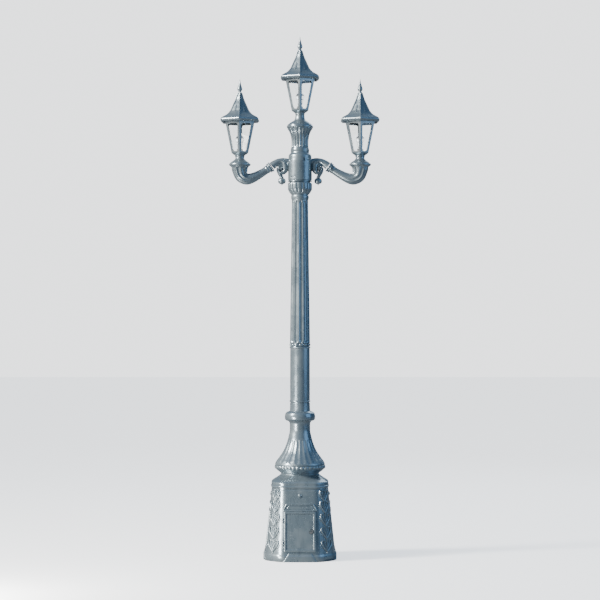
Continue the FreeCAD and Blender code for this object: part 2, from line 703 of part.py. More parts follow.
def backboard_brackets():
    """Two saddles between the core tube and the board."""
    saddles = []
    for foot in bracket_feet():
        block = Part.makeBox(2 * CORE_RADIUS, BRACKET_DEPTH + CORE_RADIUS, BRACKET_HEIGHT,
                             V(-CORE_RADIUS, -CORE_RADIUS - BRACKET_DEPTH, foot))
        through = BRACKET_HEIGHT + 2 * OVERCUT
        tube = Part.makeCylinder(CORE_RADIUS + SCREW_GAP, through, V(0, 0, foot - OVERCUT), UP)
        back = Part.makeBox(3 * CORE_RADIUS, CORE_RADIUS, through,
                            V(-1.5 * CORE_RADIUS, -CORE_RADIUS / 2, foot - OVERCUT))
        saddles.append(block.cut(tube).cut(back))
    return Part.makeCompound(saddles)


def board_front():
    return -(CORE_RADIUS + BRACKET_DEPTH + BOARD_THICKNESS)


def backboard():
    """Insulating board that the fuse box is screwed to."""
    board = rounded_slab(BOARD_WIDTH, BOARD_HEIGHT, BOARD_THICKNESS, BOX_CORNER)
    board.rotate(V(0, 0, 0), V(1, 0, 0), 90)
    return moved(board, 0, board_front() + BOARD_THICKNESS, BOARD_FOOT)


def box_foot():
    return BOARD_FOOT + (BOARD_HEIGHT - FUSE_BOX_HEIGHT) / 2


def fuse_box():
    """Fuse box on the board, with a cable entry stub under it."""
    box = rounded_slab(FUSE_BOX_WIDTH, FUSE_BOX_HEIGHT, FUSE_BOX_DEPTH, BOX_CORNER)
    box.rotate(V(0, 0, 0), V(1, 0, 0), 90)
    stub_foot = V(0, board_front() - FUSE_BOX_DEPTH / 2, box_foot() - 2 * BOX_CORNER + OVERCUT)
    stub = Part.makeCylinder(FUSE_BOX_DEPTH / 4, 2 * BOX_CORNER, stub_foot, UP)
    return joined([moved(box, 0, board_front(), box_foot()), stub])


def fuse_box_cover():
    """Lid of the fuse box, a little smaller than the box and rounded the same way."""
    inset = FUSE_COVER_INSET
    width, height = FUSE_BOX_WIDTH - 2 * inset, FUSE_BOX_HEIGHT - 2 * inset
    lid = rounded_slab(width, height, FUSE_COVER_DEPTH, BOX_CORNER - inset)
    lid.rotate(V(0, 0, 0), V(1, 0, 0), 90)
    return moved(lid, 0, board_front() - FUSE_BOX_DEPTH, box_foot() + inset)


def earth_stud():
    """Earth stud and nut on the foot plate, in reach of the doorway."""
    stud = Part.makeCylinder(STUD_RADIUS, STUD_LENGTH, V(0, -STUD_OUT, FLANGE_THICKNESS), UP)
    nut_face = [polar(STUD_NUT_RADIUS, math.radians(60 * n), 0) for n in range(6)]
    nut = moved(straight_slab(nut_face, STUD_NUT_HEIGHT), 0, -STUD_OUT, FLANGE_THICKNESS)
    return joined([stud, nut])


# ---- Door ----
def lock_spot():
    """Middle of the lock on the face: its head stands a little inside the door's border."""
    return V(DOOR_WIDTH / 2 - DOOR_BORDER - LOCK_EDGE - LOCK_HEAD_RADIUS, DOOR_FOOT + DOOR_HEIGHT / 2, 0)


def door():
    """Door plate with a raised border, its two hinge barrels and the hole for the lock."""
    plate = rounded_slab(DOOR_WIDTH, DOOR_HEIGHT, DOOR_PLATE + DOOR_BORDER_RISE, DOOR_CORNER)
    width, height = DOOR_WIDTH - 2 * DOOR_BORDER, DOOR_HEIGHT - 2 * DOOR_BORDER
    field = rounded_slab(width, height, 2 * DOOR_BORDER_RISE, DOOR_CORNER)
    plate = plate.cut(moved(field, 0, DOOR_BORDER, DOOR_PLATE))
    plate = moved(plate, 0, DOOR_FOOT, DOOR_GAP)
    for spot in hinge_spots():
        foot = spot + BARREL_LENGTH + DOOR_GAP
        web_length = BARREL_RADIUS + BARREL_SPACE + OVERCUT
        web = Part.makeBox(web_length, BARREL_LENGTH, WEB_DEPTH,
                           V(-DOOR_WIDTH / 2 - BARREL_SPACE - BARREL_RADIUS, foot, DOOR_GAP))
        bore = hinge_axis(PIN_RADIUS + PIN_CLEARANCE, foot - OVERCUT, BARREL_LENGTH + 2 * OVERCUT)
        plate = plate.fuse([web, hinge_axis(BARREL_RADIUS, foot, BARREL_LENGTH)]).cut(bore)
    hole_foot = lock_spot() - V(0, 0, DOOR_PLATE)
    hole = Part.makeCylinder(LOCK_RADIUS + LOCK_CLEARANCE, 4 * DOOR_PLATE, hole_foot, UP)
    return on_face(plate.cut(hole).removeSplitter())


def door_hinge_pins():
    """Two pins, each through a fixed barrel and the door's barrel above it."""
    length = 2 * BARREL_LENGTH + DOOR_GAP
    return on_face(Part.makeCompound([hinge_axis(PIN_RADIUS, spot, length) for spot in hinge_spots()]))


def door_lock():
    """Quarter-turn lock: head with a three-sided key pocket, spindle and the cam behind the wall."""
    spot = lock_spot()
    back = -(PEDESTAL_WALL + CAM_GAP + CAM_THICKNESS)
    head_foot = DOOR_GAP + DOOR_PLATE + DOOR_GAP
    spindle = Part.makeCylinder(LOCK_RADIUS, head_foot - back, spot + V(0, 0, back), UP)
    head = Part.makeCylinder(LOCK_HEAD_RADIUS, LOCK_HEAD_HEIGHT, spot + V(0, 0, head_foot), UP)
    key = [polar(LOCK_KEY_RADIUS, math.radians(90 + 120 * n), 0) for n in range(3)]
    pocket = moved(straight_slab(key, LOCK_HEAD_HEIGHT), spot.x, spot.y, head_foot + LOCK_KEY_FLOOR)
    cam = Part.makeBox(CAM_WIDTH, CAM_LENGTH, CAM_THICKNESS, spot + V(-CAM_WIDTH / 2, -CAM_LENGTH, back))
    return on_face(joined([spindle, head, cam]).cut(pocket))


# ---- Arms ----
def at_hub(x, rise):
    return V(x, 0, Z_HUB + rise)


def collar_direction():
    lean = math.radians(COLLAR_LEAN)
    return V(math.cos(lean), 0, -math.sin(lean))


def section_across(centre, direction, radius, depth):
    """Fluted section standing square to a path in the XZ plane."""
    wire = fluted_section(radius, depth, ARM_FLUTES, 0)
    lean = math.degrees(math.atan2(direction.x, direction.z))
    wire.Placement = FreeCAD.Placement(centre, FreeCAD.Rotation(V(0, 1, 0), lean))
    return wire


def carried_along(points, first_way, last_way, shares, radius_at, depth_at):
    """Body whose round or fluted section is carried along a smooth path through the points."""
    path = Part.BSplineCurve()
    path.interpolate(Points=points, InitialTangent=first_way, FinalTangent=last_way)
    sections = []
    for share in shares:
        place = path.parameterAtDistance(share * path.length(), path.FirstParameter)
        way = path.tangent(place)[0]
        sections.append(section_across(path.value(place), way, radius_at(share), depth_at(share)))
    return Part.makeLoft(sections, True, True)


def arm():
    """Arm from the collar down, round and up to the lantern's seat; it swells and its elbow is fluted."""
    out = collar_direction()
    start = at_hub(COLLAR_OUT, COLLAR_RISE) + out * (COLLAR_RING_LENGTH / 2)
    end = at_hub(ARM_REACH, ARM_END_RISE)
    span = end.x - start.x
    low = Z_HUB + ARM_DIP
    bend = [(0.27, 37), (0.57, 7), (0.77, 0), (0.93, 21)]
    points = [start] + [V(start.x + share * span, 0, low + rise) for share, rise in bend] + [end]

    def radius_at(share):
        return ARM_COLLAR_RADIUS + (ARM_SEAT_RADIUS - ARM_COLLAR_RADIUS) * share ** ARM_SWELL

    def depth_at(share):
        return ARM_FLUTE_DEPTH * min(1.0, max(0.0, (share - 0.5) / 0.2))

    shares = (0.0, 0.14, 0.28, 0.42, 0.54, 0.64, 0.73, 0.81, 0.89, 1.0)
    return carried_along(points, out, UP, shares, radius_at, depth_at)


def root_arch():
    """Arched branch that leaves the hub over the scroll and swells to the collar."""
    out = collar_direction()
    crest = at_hub(SCROLL_OUT, SCROLL_RISE + SCROLL_RADIUS - ARCH_SINK)
    start = at_hub(0.85 * HUB_RADIUS, SCROLL_RISE + SCROLL_RADIUS - ARCH_SINK - ARCH_RADIUS / 2)
    end = at_hub(COLLAR_OUT, COLLAR_RISE) - out * (COLLAR_RING_LENGTH / 2)
    shoulder = (crest + end) * 0.5 + V(0, 0, ARCH_RADIUS / 2)

    def radius_at(share):
        return ARCH_RADIUS + (ARCH_END_RADIUS - ARCH_RADIUS) * share ** ARCH_SWELL

    shares = [n / 8 for n in range(9)]
    points = [start, crest, shoulder, end]
    return carried_along(points, V(1, 0, 0.3), out, shares, radius_at, lambda share: 0.0)


def half_ring(centre, radius, side):
    """Half of a flat ring in the arm's plane, on one side of its centre and as wide as the scroll."""
    inner = radius - SCROLL_BAND
    tips = [centre + V(0, 0, reach) for reach in (radius, -radius, -inner, inner)]
    edges = [arc(tips[0], centre + V(side * radius, 0, 0), tips[1]), line(tips[1], tips[2]),
             arc(tips[2], centre + V(side * inner, 0, 0), tips[3]), line(tips[3], tips[0])]
    face = moved(Part.Face(Part.Wire(edges)), 0, -SCROLL_WIDTH / 2, 0)
    return face.extrude(V(0, SCROLL_WIDTH, 0))


def scroll():
    """Band that rolls down beside the hub, curls up again into its eye, and has a boss for the pendant."""
    foot = SCROLL_RISE - SCROLL_RADIUS
    wide = half_ring(at_hub(SCROLL_OUT, SCROLL_RISE), SCROLL_RADIUS, -1)
    curl = half_ring(at_hub(SCROLL_OUT, foot + SCROLL_CURL_RADIUS), SCROLL_CURL_RADIUS, 1)
    eye_width = SCROLL_WIDTH + 2 * SCROLL_EYE_PROUD
    eye_centre = at_hub(SCROLL_OUT, foot + 2 * SCROLL_CURL_RADIUS - SCROLL_BAND / 2)
    eye = Part.makeCylinder(SCROLL_EYE_RADIUS, eye_width, eye_centre - V(0, eye_width / 2, 0), V(0, 1, 0))
    boss = Part.makeCylinder(PENDANT_STEM_RADIUS + PENDANT_BOSS, SCROLL_BAND / 2 + PENDANT_BOSS,
                             at_hub(SCROLL_OUT, foot - PENDANT_BOSS), UP)
    return [wide, curl, eye, boss]


def arm_root():
    """Casting on the hub: arched branch, scroll under it and the collar that the arm is fixed in."""
    half = COLLAR_RING_LENGTH / 2
    end_radius = 0.92 * COLLAR_RING_RADIUS
    ring = turned([(-half, end_radius), (0, COLLAR_RING_RADIUS, half, end_radius)])
    turn = FreeCAD.Rotation(V(0, 1, 0), 90 + COLLAR_LEAN)
    ring.Placement = FreeCAD.Placement(at_hub(COLLAR_OUT, COLLAR_RISE), turn)
    hub = Part.makeCylinder(HUB_RADIUS, 3 * HUB_HEIGHT, V(0, 0, Z_HUB - HUB_HEIGHT), UP)
    return joined([root_arch(), ring] + scroll()).cut(hub)


def pendant():
    """Turned ball on a short stem, screwed up into the scroll's boss."""
    top = SCROLL_RISE - SCROLL_RADIUS - PENDANT_BOSS
    centre = top - PENDANT_BALL_DROP
    r, stem = PENDANT_BALL_RADIUS, PENDANT_STEM_RADIUS
    join = math.sqrt(r * r - stem * stem)
    ball = turned([(centre - 1.35 * r, 0.1 * r), (centre - 0.92 * r, 0.2 * r), (centre - 0.9 * r, 0.44 * r),
                   (centre, r, centre + join, stem), (top - PENDANT_COLLAR, stem),
                   (top - PENDANT_COLLAR / 2, stem + PENDANT_COLLAR / 2, top, stem)])
    return moved(ball, SCROLL_OUT, 0, Z_HUB)


# ---- Lantern, built on its own axis with its eave plane at Z = 0 ----
def hexagon(half, height, roundness=0.0):
    """Six-sided outline with a corner to the front; roundness carries it onto the circle of radius half."""
    corner = half / math.cos(math.radians(30))
    reach = corner + roundness * (half - corner)
    points = [polar(reach, math.radians(60 * n - 90), height) for n in range(6)]
    edges = []
    for n in range(6):
        ends = (points[n], points[(n + 1) % 6])
        if roundness > 0:
            edges.append(arc(ends[0], polar(half, math.radians(60 * n - 60), height), ends[1]))
        else:
            edges.append(line(*ends))
    return Part.Wire(edges)


def ribbed_hexagon(half, height, rib):
    """Six-sided outline with a raised rib on every corner."""
    reach = half / math.cos(math.radians(30))
    points = []
    for n in range(6):
        corner = polar(reach, math.radians(60 * n - 90), height)
        before = polar(reach, math.radians(60 * n - 150), height)
        after = polar(reach, math.radians(60 * n - 30), height)
        side = min(RIB_HALF_WIDTH, RIB_MOST_SHARE * reach)
        points.append(corner + (before - corner).normalize() * side)
        points.append(polar(reach + rib, math.radians(60 * n - 90), height))
        points.append(corner + (after - corner).normalize() * side)
    return Part.makePolygon(points + points[:1])


def hood():
    """Six-sided hood with a swept roof, ribs on its ridges, hollow inside, and its hinge barrels."""
    lip, slope = EAVE_HALF_THICKNESS, HOOD_HEIGHT - EAVE_HALF_THICKNESS
    rim = EAVE_HALF - EAVE_COVE / 3
    width = rim - HOOD_NECK_HALF
    roof = [(0.0, 1.0), (0.035, 0.92), (0.075, 0.82), (0.12, 0.7), (0.18, 0.57), (0.26, 0.45), (0.37, 0.355),
            (0.6, 0.2), (0.82, 0.09), (1.0, 0.0)]
    wires = []
    for rise, share in roof:
        rib = RIB_HEIGHT * min(1, 8 * rise + 0.1)
        wires.append(ribbed_hexagon(HOOD_NECK_HALF + share * width, lip + rise * slope, rib))
    outer = Part.makeLoft(wires, True, True)
    eave = Part.makeLoft([hexagon(EAVE_HALF - EAVE_COVE, -lip), hexagon(EAVE_HALF, 0.2 * lip),
                          hexagon(EAVE_HALF, 0.7 * lip), hexagon(rim, lip)], True, True)
    throat = CAGE_TOP_HALF - CAGE_WALL
    inside = [hexagon(throat, -lip - OVERCUT), hexagon(throat, lip + 0.04 * slope)]
    for rise, share in roof[4:8]:
        inside.append(hexagon(HOOD_NECK_HALF + share * width - HOOD_WALL, lip + rise * slope))
    shell = joined([outer, eave]).cut(Part.makeLoft(inside, True, True))
    for y in (-1.5 * HOOD_BARREL_LENGTH - HOOD_BARREL_GAP, 0.5 * HOOD_BARREL_LENGTH + HOOD_BARREL_GAP):
        shell = shell.fuse(hood_barrel(y))
    return shell.cut(hood_hinge_axis(PIN_RADIUS + PIN_CLEARANCE, 6 * HOOD_BARREL_LENGTH))


def hood_hinge_axis(radius, length):
    """Cylinder about the hood's hinge axis, with its middle on the front-to-back middle of the lantern."""
    return Part.makeCylinder(radius, length, V(HOOD_HINGE_OUT, -length / 2, -HOOD_HINGE_DROP), V(0, 1, 0))


def hood_barrel(y):
    """Barrel of the hood's hinge with the web that hangs it under the eave."""
    r, x, z = HOOD_BARREL_RADIUS, HOOD_HINGE_OUT, -HOOD_HINGE_DROP
    tube = Part.makeCylinder(r, HOOD_BARREL_LENGTH, V(x, y, z), V(0, 1, 0))
    web = Part.makeBox(r, HOOD_BARREL_LENGTH, HOOD_HINGE_DROP - EAVE_HALF_THICKNESS + OVERCUT, V(x, y, z))
    return tube.fuse(web)


def hood_hinge_pin():
    """Pin through the hood's two barrels and the cage's barrel between them."""
    return hood_hinge_axis(PIN_RADIUS, 3 * HOOD_BARREL_LENGTH + 2 * HOOD_BARREL_GAP)


def finial():
    """Spear finial on the hood."""
    z, h = HOOD_HEIGHT, FINIAL_HEIGHT
    base, bulb = FINIAL_BASE_RADIUS, FINIAL_BULB_RADIUS
    waist, spear = 0.67 * base, 0.95 * base
    return turned([(z, base), (z + 0.04 * h, base), (z + 0.07 * h, waist), (z + 0.1 * h, waist),
                   (z + 0.2 * h, bulb, z + 0.3 * h, waist), (z + 0.34 * h, waist),
                   (z + 0.42 * h, spear, z + 0.52 * h, 0.8 * base), (z + 0.76 * h, 0.36 * base),
                   (z + h, 0.09 * base)])


def cage_half(drop):
    """Half width of the cage at a depth under the eave plane."""
    return CAGE_TOP_HALF - (drop - CAGE_TOP_DROP) * (CAGE_TOP_HALF - CAGE_FOOT_HALF) / CAGE_HEIGHT


def cage_lean():
    return math.degrees(math.atan((CAGE_TOP_HALF - CAGE_FOOT_HALF) / CAGE_HEIGHT))


def on_cage_face(shape, side):
    """Carry a shape from the XY plane onto a face of the cage: Y up the face from the cage's foot, Z out."""
    foot = V(CAGE_FOOT_HALF, 0, -(CAGE_TOP_DROP + CAGE_HEIGHT))
    upright = FreeCAD.Rotation(UP, 90).multiply(FreeCAD.Rotation(V(1, 0, 0), 90 + cage_lean()))
    placed = shape.transformed(FreeCAD.Placement(foot, upright).toMatrix())
    return turned_about_z(placed, 60 * side)


def window_outline(grow):
    """Trapezoid of a cage window on the cage's face, made larger all round by grow."""
    stretch = 1 / math.cos(math.radians(cage_lean()))
    low, high = FOOT_RAIL - grow, CAGE_HEIGHT - TOP_RAIL + grow
    points = []
    for height, side in ((low, -1), (low, 1), (high, 1), (high, -1)):
        face_half = cage_half(CAGE_TOP_DROP + CAGE_HEIGHT - height) * math.tan(math.radians(30))
        points.append(V(side * (face_half - CORNER_FLANGE + grow), height * stretch, 0))
    return points


def lantern_cage():
    """Six-sided frame with a window in every face and the fixed barrel of the hood's hinge."""
    low, high = -(CAGE_TOP_DROP + CAGE_HEIGHT), -CAGE_TOP_DROP
    outer = Part.makeLoft([hexagon(CAGE_FOOT_HALF, low), hexagon(CAGE_TOP_HALF, high)], True, True)
    slope = (CAGE_TOP_HALF - CAGE_FOOT_HALF) / CAGE_HEIGHT
    inner = Part.makeLoft([hexagon(CAGE_FOOT_HALF - CAGE_WALL - slope * OVERCUT, low - OVERCUT),
                           hexagon(CAGE_TOP_HALF - CAGE_WALL + slope * OVERCUT, high + OVERCUT)], True, True)
    corners = [WINDOW_FOOT_CORNER, WINDOW_FOOT_CORNER, WINDOW_TOP_CORNER, WINDOW_TOP_CORNER]
    window = Part.Face(rounded_polygon(window_outline(0), corners)).extrude(UP * 4 * CAGE_WALL)
    window = moved(window, 0, 0, -2 * CAGE_WALL)
    lug_length = HOOD_HINGE_OUT - CAGE_TOP_HALF + CAGE_WALL / 2
    lug_foot = -HOOD_HINGE_DROP - HOOD_BARREL_RADIUS
    lug_corner = V(HOOD_HINGE_OUT - lug_length, -HOOD_BARREL_LENGTH / 2, lug_foot)
    lug = Part.makeBox(lug_length, HOOD_BARREL_LENGTH, 1.4 * HOOD_BARREL_RADIUS, lug_corner)
    frame = outer.fuse([lug, hood_hinge_axis(HOOD_BARREL_RADIUS, HOOD_BARREL_LENGTH)]).cut(inner)
    for side in range(6):
        frame = frame.cut(on_cage_face(window, side))
    return frame.cut(hood_hinge_axis(PIN_RADIUS + PIN_CLEARANCE / 2, 2 * HOOD_BARREL_LENGTH))


def lantern_panes():
    """Six flat panes behind the windows."""
    wall = CAGE_WALL * math.cos(math.radians(cage_lean()))
    depth = wall + PANE_GAP + PANE_THICKNESS
    pane = moved(straight_slab(window_outline(PANE_LAP), PANE_THICKNESS), 0, 0, -depth)
    return Part.makeCompound([on_cage_face(pane, side) for side in range(6)])


def bowl_top():
    return -(CAGE_TOP_DROP + CAGE_HEIGHT)


def lantern_base():
    """Bowl under the cage, six-sided at its rim and round at its neck, with a cable way."""
    z, h = bowl_top(), BOWL_HEIGHT
    neck = BOWL_NECK_RADIUS
    reach = CAGE_FOOT_HALF - BOWL_RIM_INSET - neck
    stations = [(1.0, 0.0, 0.0), (0.7, 0.22, 0.3), (0.35, 0.42, 0.7), (0.08, 0.6, 1.0), (0.0, 0.78, 1.0),
                (0.0, 1.0, 1.0)]
    wires = [hexagon(neck + out * reach, z - drop * h, roundness) for out, drop, roundness in stations]
    bowl = Part.makeLoft(wires, True, True)
    return bowl.cut(Part.makeCylinder(CABLE_BORE, h + 2 * OVERCUT, V(0, 0, z - h - OVERCUT), UP))


def lampholder():
    """Cup-shaped lampholder on the floor of the lantern."""
    z = bowl_top()
    cup = Part.makeCylinder(HOLDER_RADIUS, HOLDER_HEIGHT, V(0, 0, z), UP)
    socket = Part.makeCylinder(LAMP_CAP_RADIUS + LAMP_GAP, HOLDER_HEIGHT, V(0, 0, z + HOLDER_FLOOR), UP)
    return cup.cut(socket)


def lamp():
    """Clear lamp standing in the holder: cap, neck and a globe."""
    z, r, cap = bowl_top() + HOLDER_FLOOR + LAMP_GAP, LAMP_RADIUS, LAMP_CAP_RADIUS
    middle = z + LAMP_LENGTH - r
    return turned([(z, 0.7 * cap), (z + 0.3 * cap, cap), (z + HOLDER_HEIGHT, cap),
                   (middle - 0.6 * r, 0.8 * r), (middle, r, middle + r, 0)])


def lantern_seat():
    """Flared seat that joins an arm's elbow to its lantern, from the seat's foot at Z = 0."""
    rim, neck, h = SEAT_RIM_RADIUS, BOWL_NECK_RADIUS, SEAT_HEIGHT
    reach = rim - neck
    return turned([(0, ARM_SEAT_RADIUS), (0.11 * h, neck + 0.84 * reach), (0.18 * h, rim), (0.34 * h, rim),
                   (0.43 * h, neck + 0.88 * reach), (0.56 * h, neck + 0.65 * reach),
                   (0.76 * h, neck + 0.23 * reach, 0.92 * h, neck + 0.02 * reach), (h, neck)], CABLE_BORE)


LANTERN_PIECES = {
    "lantern_base": lantern_base,
    "lantern_cage": lantern_cage,
    "lantern_panes": lantern_panes,
    "lampholder": lampholder,
    "lamp": lamp,
    "lantern_hood": hood,
    "hood_finial": finial,
    "hood_hinge_pin": hood_hinge_pin,
}

POST_PIECES = [
    base_flange, core_tube, backboard_brackets, backboard, fuse_box, fuse_box_cover, earth_stud,
    pedestal, pedestal_cap, bell_skirt, collar_ring, lower_shaft, lobed_ring, fluted_shaft, neck_ring,
    cup_capital, arm_hub, hub_set_screws, top_capital, capital_cap, door, door_hinge_pins, door_lock,
]


def main():
    os.makedirs("parts", exist_ok=True)
    for piece in POST_PIECES:
        export(piece.__name__, piece())

    seat_foot = Z_HUB + ARM_END_RISE
    arm_side = {"arm_root": arm_root(), "arm_pendant": pendant(), "arm": arm(),
                "lantern_seat": moved(lantern_seat(), ARM_REACH, 0, seat_foot)}
    for name, shape in arm_side.items():
        export(name + "_right", shape)
        export(name + "_left", mirrored(shape))

    eave_rise = BOWL_HEIGHT + CAGE_HEIGHT + CAGE_TOP_DROP
    side_eave = seat_foot + SEAT_HEIGHT + eave_rise
    for name, build in LANTERN_PIECES.items():
        shape = build()
        export(name + "_middle", moved(shape, 0, 0, Z_TOP + eave_rise))
        export(name + "_right", moved(shape, ARM_REACH, 0, side_eave))
        export(name + "_left", mirrored(moved(shape, ARM_REACH, 0, side_eave)))


main()
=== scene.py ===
"""Looks of the triple head lamp post: cast post, arms and six-sided lanterns in weathered blue-grey paint.

Metres, +Z up, front is -Y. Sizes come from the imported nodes' boxes; shapes are surfaces of two parameters.
"""
import json
import math

import bpy
import numpy as np
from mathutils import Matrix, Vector


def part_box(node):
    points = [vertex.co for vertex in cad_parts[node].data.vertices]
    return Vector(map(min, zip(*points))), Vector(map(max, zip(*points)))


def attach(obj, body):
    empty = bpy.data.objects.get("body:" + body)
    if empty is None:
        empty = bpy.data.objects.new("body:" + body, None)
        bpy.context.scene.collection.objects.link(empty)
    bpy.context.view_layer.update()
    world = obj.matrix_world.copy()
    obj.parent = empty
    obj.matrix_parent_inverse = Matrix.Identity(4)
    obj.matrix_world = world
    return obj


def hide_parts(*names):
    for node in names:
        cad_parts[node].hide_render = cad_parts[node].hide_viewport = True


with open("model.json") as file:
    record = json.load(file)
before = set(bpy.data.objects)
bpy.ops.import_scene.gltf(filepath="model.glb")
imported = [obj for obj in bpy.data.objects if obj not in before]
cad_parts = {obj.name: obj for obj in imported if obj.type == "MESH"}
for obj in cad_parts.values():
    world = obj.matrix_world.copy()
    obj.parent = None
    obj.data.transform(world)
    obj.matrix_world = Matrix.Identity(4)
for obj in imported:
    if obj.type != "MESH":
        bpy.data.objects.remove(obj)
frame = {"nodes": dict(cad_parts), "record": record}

MM = 0.001
TAU = 2 * math.pi
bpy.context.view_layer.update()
SIDES = {"left": -1, "middle": 0, "right": 1}


# ---- What the nodes measure ----
def node_box(node):
    low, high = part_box(node)
    return np.array(low), np.array(high)


def node_height(node):
    low, high = node_box(node)
    return low[2], high[2]


def node_radius(node):
    low, high = node_box(node)
    return float(high[0] - low[0]) / 2


def node_middle(node):
    low, high = node_box(node)
    return (low + high) / 2


def node_share(node, height):
    """Where a height lies between a node's foot, 0, and its top, 1."""
    low, high = node_height(node)
    return (height - low) / (high - low)


# ---- Surfaces ----
def add_object(name, data):
    piece = bpy.data.objects.new(name, data)
    bpy.context.scene.collection.objects.link(piece)
    return piece


def add_mesh(name, points, faces, sharp=38.0):
    """Object from an array of points and a list of face arrays; edges over sharp degrees stay crisp."""
    mesh = bpy.data.meshes.new(name)
    faces = [face for block in faces for face in block.tolist()]
    mesh.from_pydata(points.reshape(-1, 3).tolist(), [], faces)
    mesh.validate()
    mesh.shade_smooth()
    mesh.set_sharp_from_angle(angle=math.radians(sharp))
    return add_object(name, mesh)


def grid_quads(rows, columns, wrap_rows=False, wrap_columns=True):
    """Quads of a grid of points numbered row by row, joined round where it wraps."""
    r = np.arange(rows if wrap_rows else rows - 1)[:, None]
    c = np.arange(columns if wrap_columns else columns - 1)[None, :]
    up, along = (r + 1) % rows, (c + 1) % columns
    corners = [r * columns + c, r * columns + along, up * columns + along, up * columns + c]
    corners = [np.broadcast_to(corner, (r.size, c.size)) for corner in corners]
    return np.stack(corners, axis=-1).reshape(-1, 4)


def many_skins(name, grids, closed=False, sharp=38.0):
    """Several grids of rings in one mesh. A closed run joins its last ring to its first; an open one
    ends in a fan to the middle of each end ring."""
    points, blocks, first = [], [], 0
    for grid in grids:
        rows, columns = grid.shape[:2]
        blocks.append(grid_quads(rows, columns, wrap_rows=closed) + first)
        points.append(grid.reshape(-1, 3))
        first += rows * columns
        if not closed:
            ring = np.arange(columns)
            ahead = (ring + 1) % columns
            foot, last = first - rows * columns, first - columns
            points.append(np.stack([grid[0].mean(axis=0), grid[-1].mean(axis=0)]))
            blocks.append(np.stack([foot + ahead, foot + ring, np.full(columns, first)], axis=-1))
            blocks.append(np.stack([last + ring, last + ahead, np.full(columns, first + 1)], axis=-1))
            first += 2
    return add_mesh(name, np.concatenate(points), blocks, sharp)


def closed_skin(name, grid, sharp=38.0):
    """One run of rings with both its ends closed."""
    return many_skins(name, [grid], sharp=sharp)


def smooth_line(stations, steps=7):
    """Curve through stations of any width: a cubic between each two, its slope at a station that of its
    neighbours' chord. A station given twice is a sharp corner."""
    points = np.array(stations, dtype=float)
    pieces = []
    for n in range(len(points) - 1):
        start, end = points[n], points[n + 1]
        if np.allclose(start, end):
            continue
        before = points[max(n - 1, 0)]
        after = points[min(n + 2, len(points) - 1)]
        reach = np.linalg.norm(end - start)
        leave = (end - before) * reach / max(reach + np.linalg.norm(start - before), 1e-9)
        arrive = (after - start) * reach / max(np.linalg.norm(after - end) + reach, 1e-9)
        if np.allclose(start, before):
            leave = end - start
        if np.allclose(end, after):
            arrive = end - start
        t = np.linspace(0, 1, steps, endpoint=False)[:, None]
        pieces.append((2 * t**3 - 3 * t**2 + 1) * start + (t**3 - 2 * t**2 + t) * leave
                      + (3 * t**2 - 2 * t**3) * end + (t**3 - t**2) * arrive)
    return np.concatenate(pieces + [points[-1:]])


def even_steps(line, count, endpoint=True):
    """Points at even steps along a line of points in a plane."""
    steps = np.concatenate([[0], np.cumsum(np.linalg.norm(np.diff(line, axis=0), axis=1))])
    even = np.linspace(0, steps[-1], count, endpoint=endpoint)
    return np.stack([np.interp(even, steps, line[:, n]) for n in (0, 1)], axis=-1)


def ring_angles(columns, first=0.0):
    return first + np.arange(columns) * TAU / columns


def across_flute(angles, count):
    """Where each angle lies in its own flute, -1 and 1 on the edges and 0 in the middle."""
    return 2 * ((angles * count / TAU) % 1.0) - 1


def groove(place, width=1.0):
    """Hollow of a flute: a parabola, deepest in its middle and nothing beyond its width."""
    return np.clip(1 - (place / np.maximum(width, 1e-6)) ** 2, 0, 1)


def lobe(place):
    """Round back of a lobe: a half ellipse between two valleys."""
    return np.sqrt(np.clip(1 - place**2, 0, 1))


def round_ends(heights, low, high, reach):
    """Width share of a flute whose two ends are half circles of the given reach; nothing outside them."""
    inside = np.minimum(heights - low, high - heights) / reach
    return np.sqrt(np.clip(1 - np.clip(1 - inside, 0, 1) ** 2, 0, 1)) * (inside > 0)


def rings_round(centre, radius, angles, heights):
    """Rings round a vertical axis: one radius for each height and angle."""
    return np.stack([centre[0] + radius * np.cos(angles), centre[1] + radius * np.sin(angles),
                     np.broadcast_to(heights[:, None], radius.shape)], axis=-1)


def rings_along_y(name, centre, back, radii, columns):
    """Round piece whose axis is along Y: how far back of the centre each ring lies, and its radius."""
    angles = ring_angles(columns)
    return closed_skin(name, np.stack([centre[0] + radii[:, None] * np.cos(angles),
                                       np.broadcast_to(centre[1] + back[:, None], (len(radii), columns)),
                                       centre[2] + radii[:, None] * np.sin(angles)], axis=-1))


def tube(name, path, radii, columns=40, relief=None, flatten=1.0):
    """Rings square to a path in the XZ plane, each with its own radius plus relief(row share, angle).
    Angle 0 points to +Y; flatten, one number or one for each row, scales the rings along Y."""
    tangent = np.gradient(path, axis=0)
    tangent /= np.linalg.norm(tangent, axis=1)[:, None]
    side = np.array([0.0, 1.0, 0.0])
    normal = np.cross(tangent, side)
    angles = ring_angles(columns)
    share = np.linspace(0, 1, len(path))[:, None]
    radius = np.broadcast_to(np.asarray(radii, dtype=float).reshape(-1, 1), (len(path), columns))
    radius = radius + (relief(share, angles[None, :]) if relief else 0.0)
    wide = np.broadcast_to(flatten, len(path))[:, None]
    grid = (path[:, None, :] + (wide * radius * np.cos(angles))[..., None] * side
            + (radius * np.sin(angles))[..., None] * normal[:, None, :])
    return closed_skin(name, grid)


def mirror_x(piece, name):
    """Copy of a piece on the other side of the post, its faces turned so that they still point outwards."""
    mesh = piece.data.copy()
    points = np.empty(len(mesh.vertices) * 3)
    mesh.vertices.foreach_get("co", points)
    points[0::3] *= -1
    mesh.vertices.foreach_set("co", points)
    mesh.flip_normals()
    return add_object(name, mesh)


